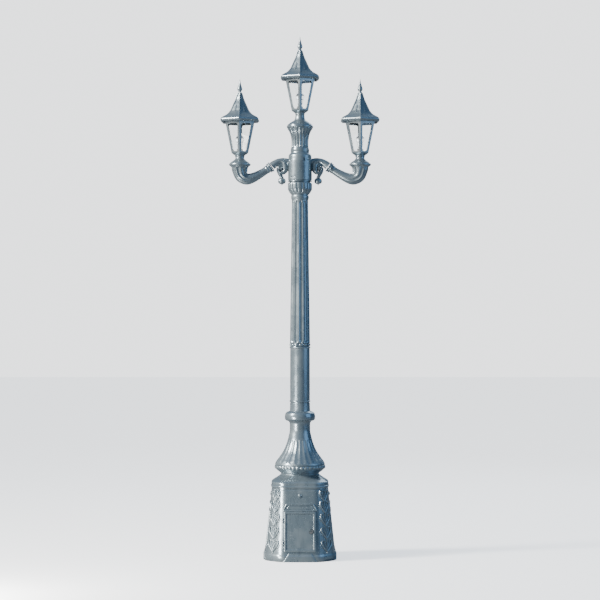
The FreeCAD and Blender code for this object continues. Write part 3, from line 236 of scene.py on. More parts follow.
# ---- Materials ----
def new_group(name, inputs, outputs):
    group = bpy.data.node_groups.new(name, "ShaderNodeTree")
    for socket, kind, value in inputs:
        group.interface.new_socket(socket, in_out="INPUT", socket_type=kind).default_value = value
    for socket, kind in outputs:
        group.interface.new_socket(socket, in_out="OUTPUT", socket_type=kind)
    return group, group.nodes.new("NodeGroupInput"), group.nodes.new("NodeGroupOutput")


def noise(tree, vector, scale, detail=4.0, rough=0.55):
    node = tree.nodes.new("ShaderNodeTexNoise")
    node.inputs["Detail"].default_value = detail
    node.inputs["Roughness"].default_value = rough
    if isinstance(scale, (int, float)):
        node.inputs["Scale"].default_value = scale
    else:
        tree.links.new(scale, node.inputs["Scale"])
    tree.links.new(vector, node.inputs["Vector"])
    return node.outputs["Fac"]


def ramp(tree, value, low, high, to_low=0.0, to_high=1.0):
    node = tree.nodes.new("ShaderNodeMapRange")
    node.interpolation_type = "SMOOTHSTEP"
    for socket, number in (("From Min", low), ("From Max", high), ("To Min", to_low), ("To Max", to_high)):
        node.inputs[socket].default_value = number
    tree.links.new(value, node.inputs["Value"])
    return node.outputs["Result"]


def combine(tree, operation, first, second):
    node = tree.nodes.new("ShaderNodeMath")
    node.operation = operation
    for socket, value in zip(node.inputs, (first, second)):
        if isinstance(value, (int, float)):
            socket.default_value = value
        else:
            tree.links.new(value, socket)
    return node.outputs[0]


def object_place(tree, stretch=(1.0, 1.0, 1.0)):
    """Object coordinates, scaled by stretch, so a pattern keeps its size on every piece."""
    place = tree.nodes.new("ShaderNodeTexCoord")
    mapping = tree.nodes.new("ShaderNodeMapping")
    mapping.inputs["Scale"].default_value = stretch
    tree.links.new(place.outputs["Object"], mapping.inputs["Vector"])
    return mapping.outputs["Vector"]


def weather_group():
    """Dirt that runs down the post in streaks, and cloudy fading; both masks from 0 to 1."""
    group, given, out = new_group("weather", [("Scale", "NodeSocketFloat", 9.0)],
                                  [("Streaks", "NodeSocketFloat"), ("Clouds", "NodeSocketFloat")])
    finer = combine(group, "MULTIPLY", given.outputs["Scale"], 5.0)
    streaks = noise(group, object_place(group, (1.0, 1.0, 0.12)), finer, 6.0)
    clouds = noise(group, object_place(group), given.outputs["Scale"], 5.0)
    group.links.new(ramp(group, streaks, 0.48, 0.74), out.inputs["Streaks"])
    group.links.new(ramp(group, clouds, 0.35, 0.68), out.inputs["Clouds"])
    return group


def wear_and_hollow_shade_group():
    """Where paint is rubbed thin on ridges, and a mask of hollows for painted shade, broken up by noise."""
    group, given, out = new_group("wear_and_hollow_shade", [("Breakup", "NodeSocketFloat", 60.0)],
                                  [("Ridge", "NodeSocketFloat"), ("Hollow", "NodeSocketFloat")])
    bend = group.nodes.new("ShaderNodeNewGeometry").outputs["Pointiness"]
    grain = noise(group, object_place(group), given.outputs["Breakup"], 4.0)
    shake = combine(group, "MULTIPLY", combine(group, "SUBTRACT", grain, 0.5), 0.05)
    shaken = combine(group, "ADD", bend, shake)
    group.links.new(ramp(group, shaken, 0.52, 0.6), out.inputs["Ridge"])
    # Hollow mask: the materials darken these hollows as painted shade.
    group.links.new(ramp(group, shaken, 0.49, 0.43), out.inputs["Hollow"])
    return group


def cast_grain_group():
    """Height of a sand-cast skin under paint: a fine grain over slow waves."""
    group, given, out = new_group("cast_grain", [("Scale", "NodeSocketFloat", 260.0)],
                                  [("Height", "NodeSocketFloat")])
    fine = noise(group, object_place(group), given.outputs["Scale"], 3.0)
    slow = noise(group, object_place(group), 14.0, 2.0)
    height = combine(group, "ADD", combine(group, "MULTIPLY", fine, 0.35), slow)
    group.links.new(height, out.inputs["Height"])
    return group


WEATHER = weather_group()
WEAR_AND_HOLLOW_SHADE = wear_and_hollow_shade_group()
CAST_GRAIN = cast_grain_group()


def place_group(tree, group, **values):
    node = tree.nodes.new("ShaderNodeGroup")
    node.node_tree = group
    for socket, value in values.items():
        node.inputs[socket].default_value = value
    return node


def mix_colour(tree, factor, first, second):
    node = tree.nodes.new("ShaderNodeMix")
    node.data_type = "RGBA"
    if isinstance(factor, (int, float)):
        node.inputs["Factor"].default_value = factor
    else:
        tree.links.new(factor, node.inputs["Factor"])
    for socket, value in (("A", first), ("B", second)):
        place = [entry for entry in node.inputs if entry.name == socket and entry.type == "RGBA"][0]
        if isinstance(value, tuple):
            place.default_value = (*value, 1.0)
        else:
            tree.links.new(value, place)
    return [entry for entry in node.outputs if entry.type == "RGBA"][0]


def new_material(name, **sockets):
    """Material with a Principled shader whose named sockets are set."""
    material = bpy.data.materials.new(name)
    material.use_nodes = True
    shader = material.node_tree.nodes["Principled BSDF"]
    for socket, value in sockets.items():
        shader.inputs[socket.replace("_", " ")].default_value = value
    return material, material.node_tree, shader


def bump(tree, shader, height, strength, distance):
    node = tree.nodes.new("ShaderNodeBump")
    node.inputs["Strength"].default_value = strength
    node.inputs["Distance"].default_value = distance
    tree.links.new(height, node.inputs["Height"])
    tree.links.new(node.outputs["Normal"], shader.inputs["Normal"])


def cloudy_roughness(tree, shader, weather, smooth, rough):
    value = ramp(tree, weather.outputs["Clouds"], 0.0, 1.0, smooth, rough)
    tree.links.new(value, shader.inputs["Roughness"])


def cast_paint(name, paint, faded, dirt_and_shade, rubbed, smooth=0.25, rough=0.37, grain=0.3):
    """Metallic paint over cast metal: slow fading, streaks of dirt, pale rubbed ridges and painted shade
    that darkens hollows.
    """
    material, tree, shader = new_material(name, Metallic=0.72, Coat_Weight=0.3, Coat_Roughness=0.12)
    weather = place_group(tree, WEATHER)
    edge = place_group(tree, WEAR_AND_HOLLOW_SHADE)
    colour = mix_colour(tree, weather.outputs["Clouds"], paint, faded)
    # Streaks take the dark tone as dirt; hollows take the same tone as painted shade; ridges pale where
    # paint is rubbed.
    for mask, share, tone in ((weather.outputs["Streaks"], 0.22, dirt_and_shade), (edge.outputs["Hollow"], 0.8, dirt_and_shade),
                              (edge.outputs["Ridge"], 0.5, rubbed)):
        colour = mix_colour(tree, combine(tree, "MULTIPLY", mask, share), colour, tone)
    tree.links.new(colour, shader.inputs["Base Color"])
    cloudy_roughness(tree, shader, weather, smooth, rough)
    bump(tree, shader, place_group(tree, CAST_GRAIN).outputs["Height"], grain, 0.0005)
    return material


def bare_metal(name, colour, dull, smooth, rough, scale):
    """Bare metal part with cloudy dulling and a fine grain."""
    material, tree, shader = new_material(name, Metallic=1.0)
    weather = place_group(tree, WEATHER, Scale=scale)
    tree.links.new(mix_colour(tree, weather.outputs["Clouds"], colour, dull), shader.inputs["Base Color"])
    cloudy_roughness(tree, shader, weather, smooth, rough)
    bump(tree, shader, place_group(tree, CAST_GRAIN, Scale=420.0).outputs["Height"], 0.2, 0.0003)
    return material


def moulded(name, colour, shade, rough, scale=320.0, coat=0.0):
    """Moulded plastic, board or glazed porcelain: slight mottling, painted shade in its hollows and a fine
    grain.
    """
    material, tree, shader = new_material(name, Roughness=rough, Coat_Weight=coat)
    weather = place_group(tree, WEATHER, Scale=22.0)
    edge = place_group(tree, WEAR_AND_HOLLOW_SHADE)
    tone = mix_colour(tree, weather.outputs["Clouds"], colour, shade)
    # Hollows take the shade colour fully: painted shade. The same colour also gives the random mottling.
    tree.links.new(mix_colour(tree, edge.outputs["Hollow"], tone, shade), shader.inputs["Base Color"])
    bump(tree, shader, place_group(tree, CAST_GRAIN, Scale=scale).outputs["Height"], 0.15, 0.0003)
    return material


def clear_glass(name, tint, rough, waves):
    """Clear glass with a little dust at random and the slow waves of drawn glass."""
    material, tree, shader = new_material(name, Metallic=0.0, Transmission_Weight=1.0, IOR=1.45)
    weather = place_group(tree, WEATHER, Scale=7.0)
    dusty = tuple(0.93 * part for part in tint)
    tree.links.new(mix_colour(tree, weather.outputs["Streaks"], tint, dusty), shader.inputs["Base Color"])
    cloudy_roughness(tree, shader, weather, rough, 3 * rough)
    bump(tree, shader, noise(tree, object_place(tree), 9.0, 1.0), waves, 0.0008)
    return material


MATERIALS = {
    # Post paint: paint, faded paint, a dark tone for dirt streaks and for painted shade in hollows, and
    # rubbed ridges.
    "post_paint": cast_paint("post_paint", (0.225, 0.285, 0.325), (0.26, 0.315, 0.345),
                             (0.05, 0.065, 0.08), (0.45, 0.48, 0.49)),
    "pane_glass": clear_glass("pane_glass", (0.97, 0.985, 0.98), 0.02, 0.05),
    "lamp_glass": clear_glass("lamp_glass", (0.99, 0.99, 0.98), 0.01, 0.0),
    # Moulded parts: the second colour is both random mottling and painted shade in hollows.
    "porcelain": moulded("porcelain", (0.8, 0.79, 0.74), (0.62, 0.6, 0.54), 0.22, coat=0.4),
    "galvanised_steel": bare_metal("galvanised_steel", (0.5, 0.52, 0.53), (0.36, 0.38, 0.4), 0.32, 0.55,
                                   30.0),
    "plain_steel": bare_metal("plain_steel", (0.46, 0.46, 0.46), (0.3, 0.29, 0.28), 0.25, 0.45, 60.0),
    "board": moulded("board", (0.2, 0.12, 0.065), (0.12, 0.075, 0.045), 0.6),
    "fuse_housing": moulded("fuse_housing", (0.055, 0.058, 0.06), (0.035, 0.036, 0.038), 0.45),
}


def finish_as(piece, slot):
    piece.data.materials.clear()
    piece.data.materials.append(MATERIALS[slot])


def dress(piece, body, slot="post_paint"):
    """Give a new piece its material and the body it moves with."""
    finish_as(piece, slot)
    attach(piece, body)
    return piece


def stand_in(piece, node, body):
    """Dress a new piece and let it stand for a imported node."""
    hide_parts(node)
    return dress(piece, body)


def dress_nodes():
    """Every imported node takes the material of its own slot."""
    slots = {entry["node"]: entry["material_slot"] for entry in frame["record"]["subparts"]}
    for node, piece in frame["nodes"].items():
        for index in range(len(piece.material_slots)):
            piece.material_slots[index].material = MATERIALS[slots[node]]
        if not piece.material_slots:
            piece.data.materials.append(MATERIALS[slots[node]])


# ---- Camera, floor and light ----
CAMERA_BACK = 13.07
CAMERA_HEIGHT = 1.615
CAMERA_LENS = 116.5
CAMERA_RISE = 0.03
FLOOR_HALF = 40.0
SUN_POWER = 3.4
SUN_WIDTH = math.radians(9)
SUN_COLOUR = (1.0, 0.95, 0.87)
SUN_WAY = (0.9, 0.33, -0.52)
LAMPS = [  # name, place, height aimed at, width, power, colour
    ("key", (-5.6, -2.2, 5.0), 1.9, 1.5, 700.0, (1.0, 0.96, 0.9)),
    ("low_key", (-2.3, -2.0, 0.45), 0.4, 0.6, 85.0, (1.0, 0.97, 0.92)),
    ("sky", (6.5, -2.5, 3.5), 1.9, 5.0, 130.0, (0.38, 0.65, 1.0)),
    ("back", (3.0, 6.0, 5.5), 1.9, 4.0, 130.0, (0.8, 0.9, 1.0)),
]


def add_light(name, kind, power, colour, way, place=(0, 0, 0)):
    light = add_object(name, bpy.data.lights.new(name, kind))
    light.data.energy = power
    light.data.color = colour
    light.location = place
    light.rotation_euler = Vector(way).to_track_quat("-Z", "Y").to_euler()
    return light.data


def set_stage():
    """Photograph's view, pale floor, low warm sun from the front left and cool light from the right."""
    camera = add_object("view", bpy.data.cameras.new("view"))
    camera.location = (0, -CAMERA_BACK, CAMERA_HEIGHT)
    camera.rotation_euler = (math.pi / 2, 0, 0)
    camera.data.lens = CAMERA_LENS
    camera.data.shift_y = CAMERA_RISE
    bpy.context.scene.camera = camera

    corners = FLOOR_HALF * np.array([(-1, -1, 0), (1, -1, 0), (1, 1, 0), (-1, 1, 0)])
    floor = add_mesh("floor", corners, [np.array([[0, 1, 2, 3]])])
    floor.data.materials.append(floor_material())

    add_light("sun", "SUN", SUN_POWER, SUN_COLOUR, SUN_WAY).angle = SUN_WIDTH
    for name, place, aim, width, power, colour in LAMPS:
        add_light(name, "AREA", power, colour, Vector((0, 0, aim)) - Vector(place), place).size = width
    set_world()


def floor_material():
    """Pale floor; the light that it throws back on the post is that of a duller ground."""
    material, tree, shader = new_material("floor", Roughness=0.8, Emission_Strength=1.5)
    seen = tree.nodes.new("ShaderNodeLightPath").outputs["Is Camera Ray"]
    clouds = noise(tree, object_place(tree), 0.6, 3.0)
    tone = mix_colour(tree, clouds, (0.82, 0.82, 0.82), (0.86, 0.86, 0.86))
    tree.links.new(mix_colour(tree, seen, (0.2, 0.21, 0.22), tone), shader.inputs["Base Color"])
    glow = mix_colour(tree, seen, (0.0, 0.0, 0.0), (0.93, 0.95, 0.97))
    tree.links.new(glow, shader.inputs["Emission Color"])
    return material


def set_world():
    """Pale behind the post; round it the light goes from warm grey on the left to sky blue on the right,
    and it is bluish overhead."""
    world = bpy.data.worlds.new("studio")
    bpy.context.scene.world = world
    world.use_nodes = True
    tree = world.node_tree
    place = tree.nodes.new("ShaderNodeTexCoord")
    parts = tree.nodes.new("ShaderNodeSeparateXYZ")
    tree.links.new(place.outputs["Generated"], parts.inputs[0])
    left = ramp(tree, parts.outputs[0], -0.95, -0.15)
    around = mix_colour(tree, left, (0.62, 0.63, 0.62), (0.2, 0.26, 0.31))
    around = mix_colour(tree, ramp(tree, parts.outputs[0], -0.05, 0.7), around, (0.05, 0.11, 0.19))
    overhead = combine(tree, "MULTIPLY", ramp(tree, parts.outputs[2], 0.15, 0.75), 0.8)
    around = mix_colour(tree, overhead, around, (0.13, 0.25, 0.42))
    rays = tree.nodes.new("ShaderNodeLightPath")
    straight = combine(tree, "MAXIMUM", rays.outputs["Is Camera Ray"], rays.outputs["Is Transmission Ray"])
    colour = mix_colour(tree, straight, around, (2.3, 2.35, 2.4))
    tree.links.new(colour, tree.nodes["Background"].inputs["Color"])


# ---- Post ----
SHAFT_FLUTES = 12
SHAFT_TURN = math.radians(22.5)
SHAFT_FLUTE_DEPTH = 6.5 * MM
BELL_FLUTES = 24
BELL_FLUTE_DEPTH = 3.4 * MM
BEADS = 36
BEAD_HEIGHT = 4.5 * MM
LOBED_BEAD = 7.5 * MM
HUB_SLOTS = [  # turn, height, half width, half height
    (math.radians(-126), 27 * MM, 16 * MM, 5 * MM), (math.radians(-69), 143 * MM, 5 * MM, 13 * MM)]
HUB_SLOT_DEPTH = 8 * MM
HUB_RADIUS = 80 * MM
CUP_LOBES = 14
CUP_VALLEY = 4.2 * MM
CAPITAL_FLUTES = 20
CAPITAL_FLUTE_DEPTH = 3.5 * MM

BELL_LINE = [
    (0, 0.744), (0.017, 0.77), (0.037, 0.831), (0.057, 0.884), (0.085, 0.945), (0.105, 0.975),
    (0.13, 0.985), (0.165, 0.985), (0.19, 0.975), (0.211, 0.959), (0.248, 0.913), (0.288, 0.849),
    (0.345, 0.767), (0.402, 0.686), (0.459, 0.622), (0.536, 0.552), (0.652, 0.477), (0.726, 0.44),
    (0.803, 0.407), (0.863, 0.402), (0.957, 0.408), (1, 0.453)]
COLLAR_LINE = [
    (0, 0.77), (0.07, 0.909), (0.18, 0.98), (0.33, 1.0), (0.49, 1.0), (0.68, 0.975), (0.78, 0.95),
    (0.87, 0.882), (0.95, 0.79), (1, 0.7)]
LOWER_LINE = [
    (0, 0.97), (0.02, 0.96), (0.115, 0.945), (0.128, 0.945), (0.128, 0.945), (0.131, 0.91),
    (0.141, 0.91), (0.144, 0.945), (0.144, 0.945), (0.147, 0.975), (0.152, 0.998), (0.16, 0.998),
    (0.166, 0.975), (0.169, 0.94), (0.169, 0.94), (0.2, 0.94), (0.6, 0.94), (1, 0.93)]
LOBED_LINE = [
    (0, 0.95), (0.06, 0.985), (0.2, 0.995), (0.3, 0.95), (0.3, 0.95), (0.42, 0.935), (0.55, 0.965),
    (0.8, 0.975), (1, 0.955)]
SHAFT_LINE = [(0, 1.0), (0.5, 0.905), (1, 0.809)]
NECK_LINE = [
    (0, 0.92), (0.12, 0.955), (0.2, 0.955), (0.2, 0.955), (0.3, 0.99), (0.5, 1.0), (0.7, 0.99),
    (0.82, 0.955), (0.82, 0.955), (1, 0.97)]
CUP_LINE = [
    (0, 0.755), (0.08, 0.815), (0.16, 0.885), (0.24, 0.93), (0.31, 0.97), (0.39, 0.995), (0.53, 1.0),
    (0.77, 0.995), (0.84, 0.97), (0.865, 0.94), (0.87, 0.84), (0.87, 0.84), (0.955, 0.84),
    (0.955, 0.84), (0.965, 0.985), (1, 0.985)]
HUB_LINE = [
    (0, 0.93), (0.018, 0.93), (0.018, 0.93), (0.026, 0.985), (0.04, 1.0), (0.3, 1.0), (0.72, 0.995),
    (0.745, 0.972), (0.745, 0.972), (0.86, 0.962), (0.9, 0.94), (0.965, 0.79), (0.965, 0.79),
    (1, 0.771)]
CAPITAL_LINE = [
    (0, 0.705), (0.03, 0.72), (0.08, 0.727), (0.13, 0.72), (0.165, 0.695), (0.165, 0.695),
    (0.21, 0.672), (0.28, 0.662), (0.41, 0.66), (0.5, 0.668), (0.58, 0.69), (0.67, 0.72), (0.75, 0.76),
    (0.83, 0.82), (0.91, 0.9), (0.97, 0.975), (1, 0.985)]
CAP_LINE = [
    (0, 0.93), (0.0, 0.95), (0.035, 0.99), (0.09, 1.0), (0.155, 0.995), (0.2, 0.965), (0.24, 0.955),
    (0.31, 0.88), (0.39, 0.79), (0.476, 0.677), (0.56, 0.53), (0.63, 0.44), (0.71, 0.4), (0.8, 0.372),
    (0.9, 0.355), (1, 0.355)]


def band(height, low, high, soft):
    """1 between two heights, falling smoothly to 0 over soft outside them."""
    rise = np.clip((height - low) / soft + 1, 0, 1)
    fall = np.clip((high - height) / soft + 1, 0, 1)
    share = np.minimum(rise, fall)
    return share * share * (3 - 2 * share)


def bell_relief(height, angle):
    """Hollow flutes up the slope with round ends, and a row of round beads on the rim."""
    up = node_share("bell_skirt", height)
    reach = round_ends(up, 0.2, 0.64, 0.05)
    size = 1 - np.clip(up - 0.2, 0, 0.5)
    flutes = size * groove(across_flute(angle, BELL_FLUTES), 0.84 * reach + 1e-4) * (reach > 0)
    bead_up = (up - 0.12) / 0.036
    bead = np.sqrt(np.clip(1 - across_flute(angle, BEADS) ** 2 / 0.8 - bead_up**2, 0, 1))
    valley = 0.25 * (np.abs(bead_up) < 1) + 0.6 * band(up, 0.165, 0.17, 0.006)
    return BEAD_HEIGHT * (bead - valley) - BELL_FLUTE_DEPTH * flutes


def lobed_ring_relief(height, angle):
    """A round bead under each flute of the shaft, half a ball high, between two deep valleys."""
    up = (node_share("lobed_ring", height) - 0.66) / 0.33
    bead = np.sqrt(np.clip(1 - across_flute(angle - SHAFT_TURN, SHAFT_FLUTES) ** 2 - up**2, 0, 1))
    return (np.abs(up) < 1) * LOBED_BEAD * (bead - 0.72)


def shaft_relief(height, angle):
    """Hollow flutes with round ends, between narrow flat edges."""
    low, high = node_height("fluted_shaft")
    reach = round_ends(height, low + 4 * MM, high - 6 * MM, 20 * MM)
    taper = 1 - 0.18 * (height - low) / (high - low)
    place = across_flute(angle - SHAFT_TURN, SHAFT_FLUTES)
    return -SHAFT_FLUTE_DEPTH * taper * groove(place, 0.88 * reach + 1e-4) * (reach > 0)


def cup_relief(height, angle):
    """Round lobes that swell from the neck and end under the cup's rim."""
    strength = band(node_share("cup_capital", height), 0.16, 0.76, 0.12)
    return CUP_VALLEY * strength * (lobe(across_flute(angle, CUP_LOBES)) - 1)


def hub_relief(height, angle):
    """Two shallow slots in the hub's front, one lying on the left and one upright on the right."""
    low = node_height("arm_hub")[0]
    dent = 0
    for turn, rise, half_wide, half_high in HUB_SLOTS:
        across = (np.mod(angle - turn + TAU / 2, TAU) - TAU / 2) * HUB_RADIUS / half_wide
        up = (height - low - rise) / half_high
        dent = dent + np.clip(1.6 * (1 - across**4 - up**4), 0, 1)
    return -HUB_SLOT_DEPTH * dent


def capital_relief(height, angle):
    """Hollow flutes that open out with the bell of the capital."""
    reach = round_ends(node_share("top_capital", height), 0.2, 1.1, 0.05)
    flutes = groove(across_flute(angle, CAPITAL_FLUTES), 0.86 * reach + 1e-4) * (reach > 0)
    return -CAPITAL_FLUTE_DEPTH * flutes


def rows_between(stations, node, count):
    """Smooth outline of a node with at least count rows, evenly spread along its height shares."""
    line = smooth_line(stations, 5)
    shares = np.unique(np.concatenate([np.linspace(0, 1, count), line[:, 0]]))
    low, high = node_height(node)
    return low + shares * (high - low), np.interp(shares, line[:, 0], line[:, 1]) * node_radius(node)


def turned_casting(name, node, stations, rows, columns, relief=None):
    """Surface of revolution in the place of a node: stations are shares of its height and of its radius,
    to which relief(height, angle) is added."""
    heights, radii = rows_between(stations, node, rows)
    angles = ring_angles(columns)
    extra = relief(heights[:, None], angles[None, :]) if relief else np.zeros(columns)
    return closed_skin(name, rings_round(node_middle(node), radii[:, None] + extra, angles, heights))


def post_castings():
    """Every turned casting of the post, from the bell to the cap under the middle lantern."""
    for node, line, columns, relief, rows in (
        ("bell_skirt", BELL_LINE, 15 * BELL_FLUTES, bell_relief, 130),
        ("collar_ring", COLLAR_LINE, 96, None, 40),
        ("lower_shaft", LOWER_LINE, 96, None, 30),
        ("lobed_ring", LOBED_LINE, 20 * SHAFT_FLUTES, lobed_ring_relief, 60),
        ("fluted_shaft", SHAFT_LINE, 16 * SHAFT_FLUTES, shaft_relief, 220),
        ("neck_ring", NECK_LINE, 96, None, 20),
        ("cup_capital", CUP_LINE, 12 * CUP_LOBES, cup_relief, 50),
        ("arm_hub", HUB_LINE, 360, hub_relief, 110),
        ("top_capital", CAPITAL_LINE, 12 * CAPITAL_FLUTES, capital_relief, 60),
        ("capital_cap", CAP_LINE, 96, None, 40),
    ):
        stand_in(turned_casting(node + "_casting", node, line, rows, columns, relief), node, "post")


# ---- Arms: X from the post's axis, heights above the foot of the hub ----
COLLAR_OUT = 201 * MM
COLLAR_RISE = 91 * MM
COLLAR_LEAN = math.radians(35)
COLLAR_RING_RADIUS = 35 * MM
COLLAR_RING_LENGTH = 18 * MM
ARM_REACH = 405 * MM
ARM_END_RISE = 96 * MM
ARM_DIP = 15 * MM
ARM_COLLAR_RADIUS = 24.5 * MM
ARM_SEAT_RADIUS = 57.5 * MM
ARM_SWELL = 1.7
ARM_FLUTES = 10
ARM_FLUTE_DEPTH = 7 * MM
ROOT_PATH = [
    (66, 124, 21), (86, 133, 19.5), (108, 138, 18.5), (128, 137, 18), (148, 131, 20), (170, 117, 24),
    (188, 102, 27.5)]
SCROLL_PATH = [
    (124, 134, 13), (111, 128, 18), (101, 115, 21.5), (98, 97, 22.5), (99, 80, 21.5), (104, 67, 18),
    (112, 58, 14), (122, 55, 11), (133, 60, 10), (142, 70, 9.5), (146, 82, 9), (143, 94, 7.5),
    (136, 99, 6)]
ARM_BENDS = [(0.27, 37), (0.57, 7), (0.77, 0), (0.94, 21)]  # share of the reach, mm above the dip
ARM_BEAD = 3 * MM
COLLAR_LEAF = 5 * MM
SEAT_FACET = 2.2 * MM
SCROLL_HALF_WIDTH = 26 * MM
EYE_PLACE = (129, 85)
EYE_RADIUS = 13.5 * MM
EYE_HALF_WIDTH = 31 * MM
WEB_PLACE = (122, 98)
WEB_RADIUS = 30 * MM
WEB_HALF_WIDTH = 13 * MM
STEM_PATH = [
    (146, 94, 7), (148, 82, 11), (144, 68, 13.5), (138, 54, 13), (131, 40, 12), (125, 28, 11),
    (122, 18, 9)]
COLLAR_ROLLS = [
    (-0.9, 0.8), (-0.8, 0.92), (-0.55, 1.0), (-0.3, 0.93), (-0.15, 0.86), (0.05, 0.86), (0.2, 0.93),
    (0.45, 0.97), (0.7, 0.9), (0.85, 0.8), (0.9, 0.75)]
PENDANT_LINE = [
    (0, 0.08), (0.03, 0.14), (0.07, 0.18), (0.1, 0.2), (0.12, 0.42), (0.17, 0.7), (0.25, 0.9),
    (0.34, 0.99), (0.42, 1.0), (0.52, 0.97), (0.61, 0.86), (0.68, 0.68), (0.73, 0.46), (0.75, 0.36),
    (0.75, 0.36), (0.78, 0.44), (0.82, 0.47), (0.86, 0.42), (0.88, 0.32), (0.94, 0.3), (1, 0.34)]
SEAT_LINE = [
    (0, 0.82), (0.08, 0.86), (0.1, 0.9), (0.17, 0.985), (0.22, 1.0), (0.31, 0.995), (0.36, 0.975),
    (0.39, 0.93), (0.45, 0.9), (0.55, 0.8), (0.667, 0.64), (0.783, 0.53), (0.883, 0.45), (0.95, 0.41),
    (1, 0.4)]
BOWL_LINE = [
    (0, 0.54), (0.12, 0.545), (0.2, 0.56), (0.22, 0.6), (0.27, 0.61), (0.31, 0.585), (0.38, 0.575),
    (0.47, 0.62), (0.57, 0.69), (0.67, 0.78), (0.77, 0.865), (0.87, 0.935), (0.95, 0.98), (1, 1.0)]
FINIAL_LINE = [
    (0, 0.8), (0.04, 0.78), (0.07, 0.62), (0.1, 0.56), (0.13, 0.6), (0.18, 0.82), (0.24, 0.97),
    (0.29, 1.0), (0.35, 0.96), (0.43, 0.83), (0.52, 0.66), (0.62, 0.49), (0.73, 0.34), (0.85, 0.2),
    (0.95, 0.1), (1, 0.04)]


def at_hub(points):
    """Millimetres out and up from the foot of the hub, and any further columns, as metres."""
    path = np.array(points, dtype=float) * MM
    path[:, 1] += node_height("arm_hub")[0]
    return path


def in_plane(path):
    """Path in the XZ plane from its first two columns."""
    return np.stack([path[:, 0], np.zeros(len(path)), path[:, 1]], axis=-1)


def arm_path():
    """Centre line of an arm, from the collar down, round the bend and up to its lantern's seat."""
    foot = node_height("arm_hub")[0]
    out = np.array([math.cos(COLLAR_LEAN), -math.sin(COLLAR_LEAN)])
    start = np.array([COLLAR_OUT, foot + COLLAR_RISE]) + out * COLLAR_RING_LENGTH / 2
    end = np.array([ARM_REACH, foot + ARM_END_RISE])
    bends = [(start[0] + share * (end[0] - start[0]), foot + ARM_DIP + up * MM) for share, up in ARM_BENDS]
    stations = [start, start + 1 * MM * out, *bends, end - np.array([0, 18 * MM]), end]
    return in_plane(even_steps(smooth_line(stations, 14), 90))


def arm_relief(share, angle):
    """Flutes round the elbow that run out into the smooth arm, and a bead where it leaves the collar."""
    grown = np.clip((share - 0.5) / 0.14, 0, 1)
    hollow = groove(across_flute(angle + TAU / 40, ARM_FLUTES), 0.82 * np.sqrt(grown) + 1e-4)
    bead = np.sqrt(np.clip(1 - ((share - 0.05) / 0.02) ** 2, 0, 1))
    return -ARM_FLUTE_DEPTH * grown * hollow * (0.5 + 0.5 * share) + ARM_BEAD * bead


def arm_pieces():
    """Arm, its root with the scroll, pendant and lantern seat on the right, and their mirror images."""
    path = arm_path()
    share = np.linspace(0, 1, len(path))
    radii = ARM_COLLAR_RADIUS + (ARM_SEAT_RADIUS - ARM_COLLAR_RADIUS) * share**ARM_SWELL
    arm = tube("arm_casting_right", path, radii, 12 * ARM_FLUTES, arm_relief)
    stands = [(arm, "arm_right")]
    stands += [(piece, "arm_root_right") for piece in root_pieces()]
    node = "arm_pendant_right"
    stands.append((turned_casting("pendant_right", node, PENDANT_LINE, 40, 48), node))
    stands.append((seat_piece(), "lantern_seat_right"))
    for piece, node in stands:
        twin = mirror_x(piece, piece.name.replace("right", "left"))
        stand_in(piece, node, "post")
        stand_in(twin, node.replace("right", "left"), "post")


def root_pieces():
    """Arched root, rolled scroll round a sunk web and its eye, the pendant's stem and the arm's collar."""
    root = smooth_line(at_hub(ROOT_PATH), 8)
    arch = tube("arm_root_arch_right", in_plane(root), root[:, 2], 48)
    roll = smooth_line(at_hub(SCROLL_PATH), 8)
    flatten = SCROLL_HALF_WIDTH / roll[:, 2]
    scroll = tube("arm_scroll_right", in_plane(roll), roll[:, 2], 36, flatten=flatten)
    leaf = smooth_line(at_hub(STEM_PATH), 8)
    stem = tube("pendant_stem_right", in_plane(leaf), leaf[:, 2], 28, flatten=1.3)
    eye = cushion_disc("scroll_eye_right", EYE_PLACE, EYE_RADIUS, EYE_HALF_WIDTH, 3)
    web = cushion_disc("scroll_web_right", WEB_PLACE, WEB_RADIUS, WEB_HALF_WIDTH, 6)
    return [arch, scroll, stem, eye, web, collar_piece()]


def cushion_disc(name, place, radius, half_width, squareness):
    """Disc lying in the plane of the arm, its section a superellipse of the given squareness."""
    turn = np.linspace(-1, 1, 25)[1:-1]
    radii = radius * (1 - np.abs(turn) ** squareness) ** (1 / squareness)
    return rings_along_y(name, in_plane(at_hub([place]))[0], -turn * half_width, radii, 40)


def collar_piece():
    """Collar that holds the arm: two rolls round the arm's axis with a hollow between."""
    foot = node_height("arm_hub")[0]
    out = np.array([math.cos(COLLAR_LEAN), 0, -math.sin(COLLAR_LEAN)])
    centre = np.array([COLLAR_OUT, 0, foot + COLLAR_RISE])
    line = smooth_line(COLLAR_ROLLS, 6)
    path = centre + line[:, :1] * COLLAR_RING_LENGTH / 2 * out * 1.6

    def leaves(share, angle):
        return band(share, 0.05, 0.3, 0.2) * COLLAR_LEAF * (lobe(across_flute(angle + TAU / 32, 8)) - 0.55)

    return tube("arm_collar_right", path, line[:, 1] * COLLAR_RING_RADIUS, 96, leaves)


def seat_piece():
    """Flared seat under a lantern, faintly six-sided under its rim."""
    node = "lantern_seat_right"

    def facets(height, angle):
        upper = band(node_share(node, height), 0.45, 0.85, 0.1)
        return upper * SEAT_FACET * (six_sided(angle) - 1.06) / 0.15

    return turned_casting("lantern_seat_casting_right", node, SEAT_LINE, 50, 96, facets)


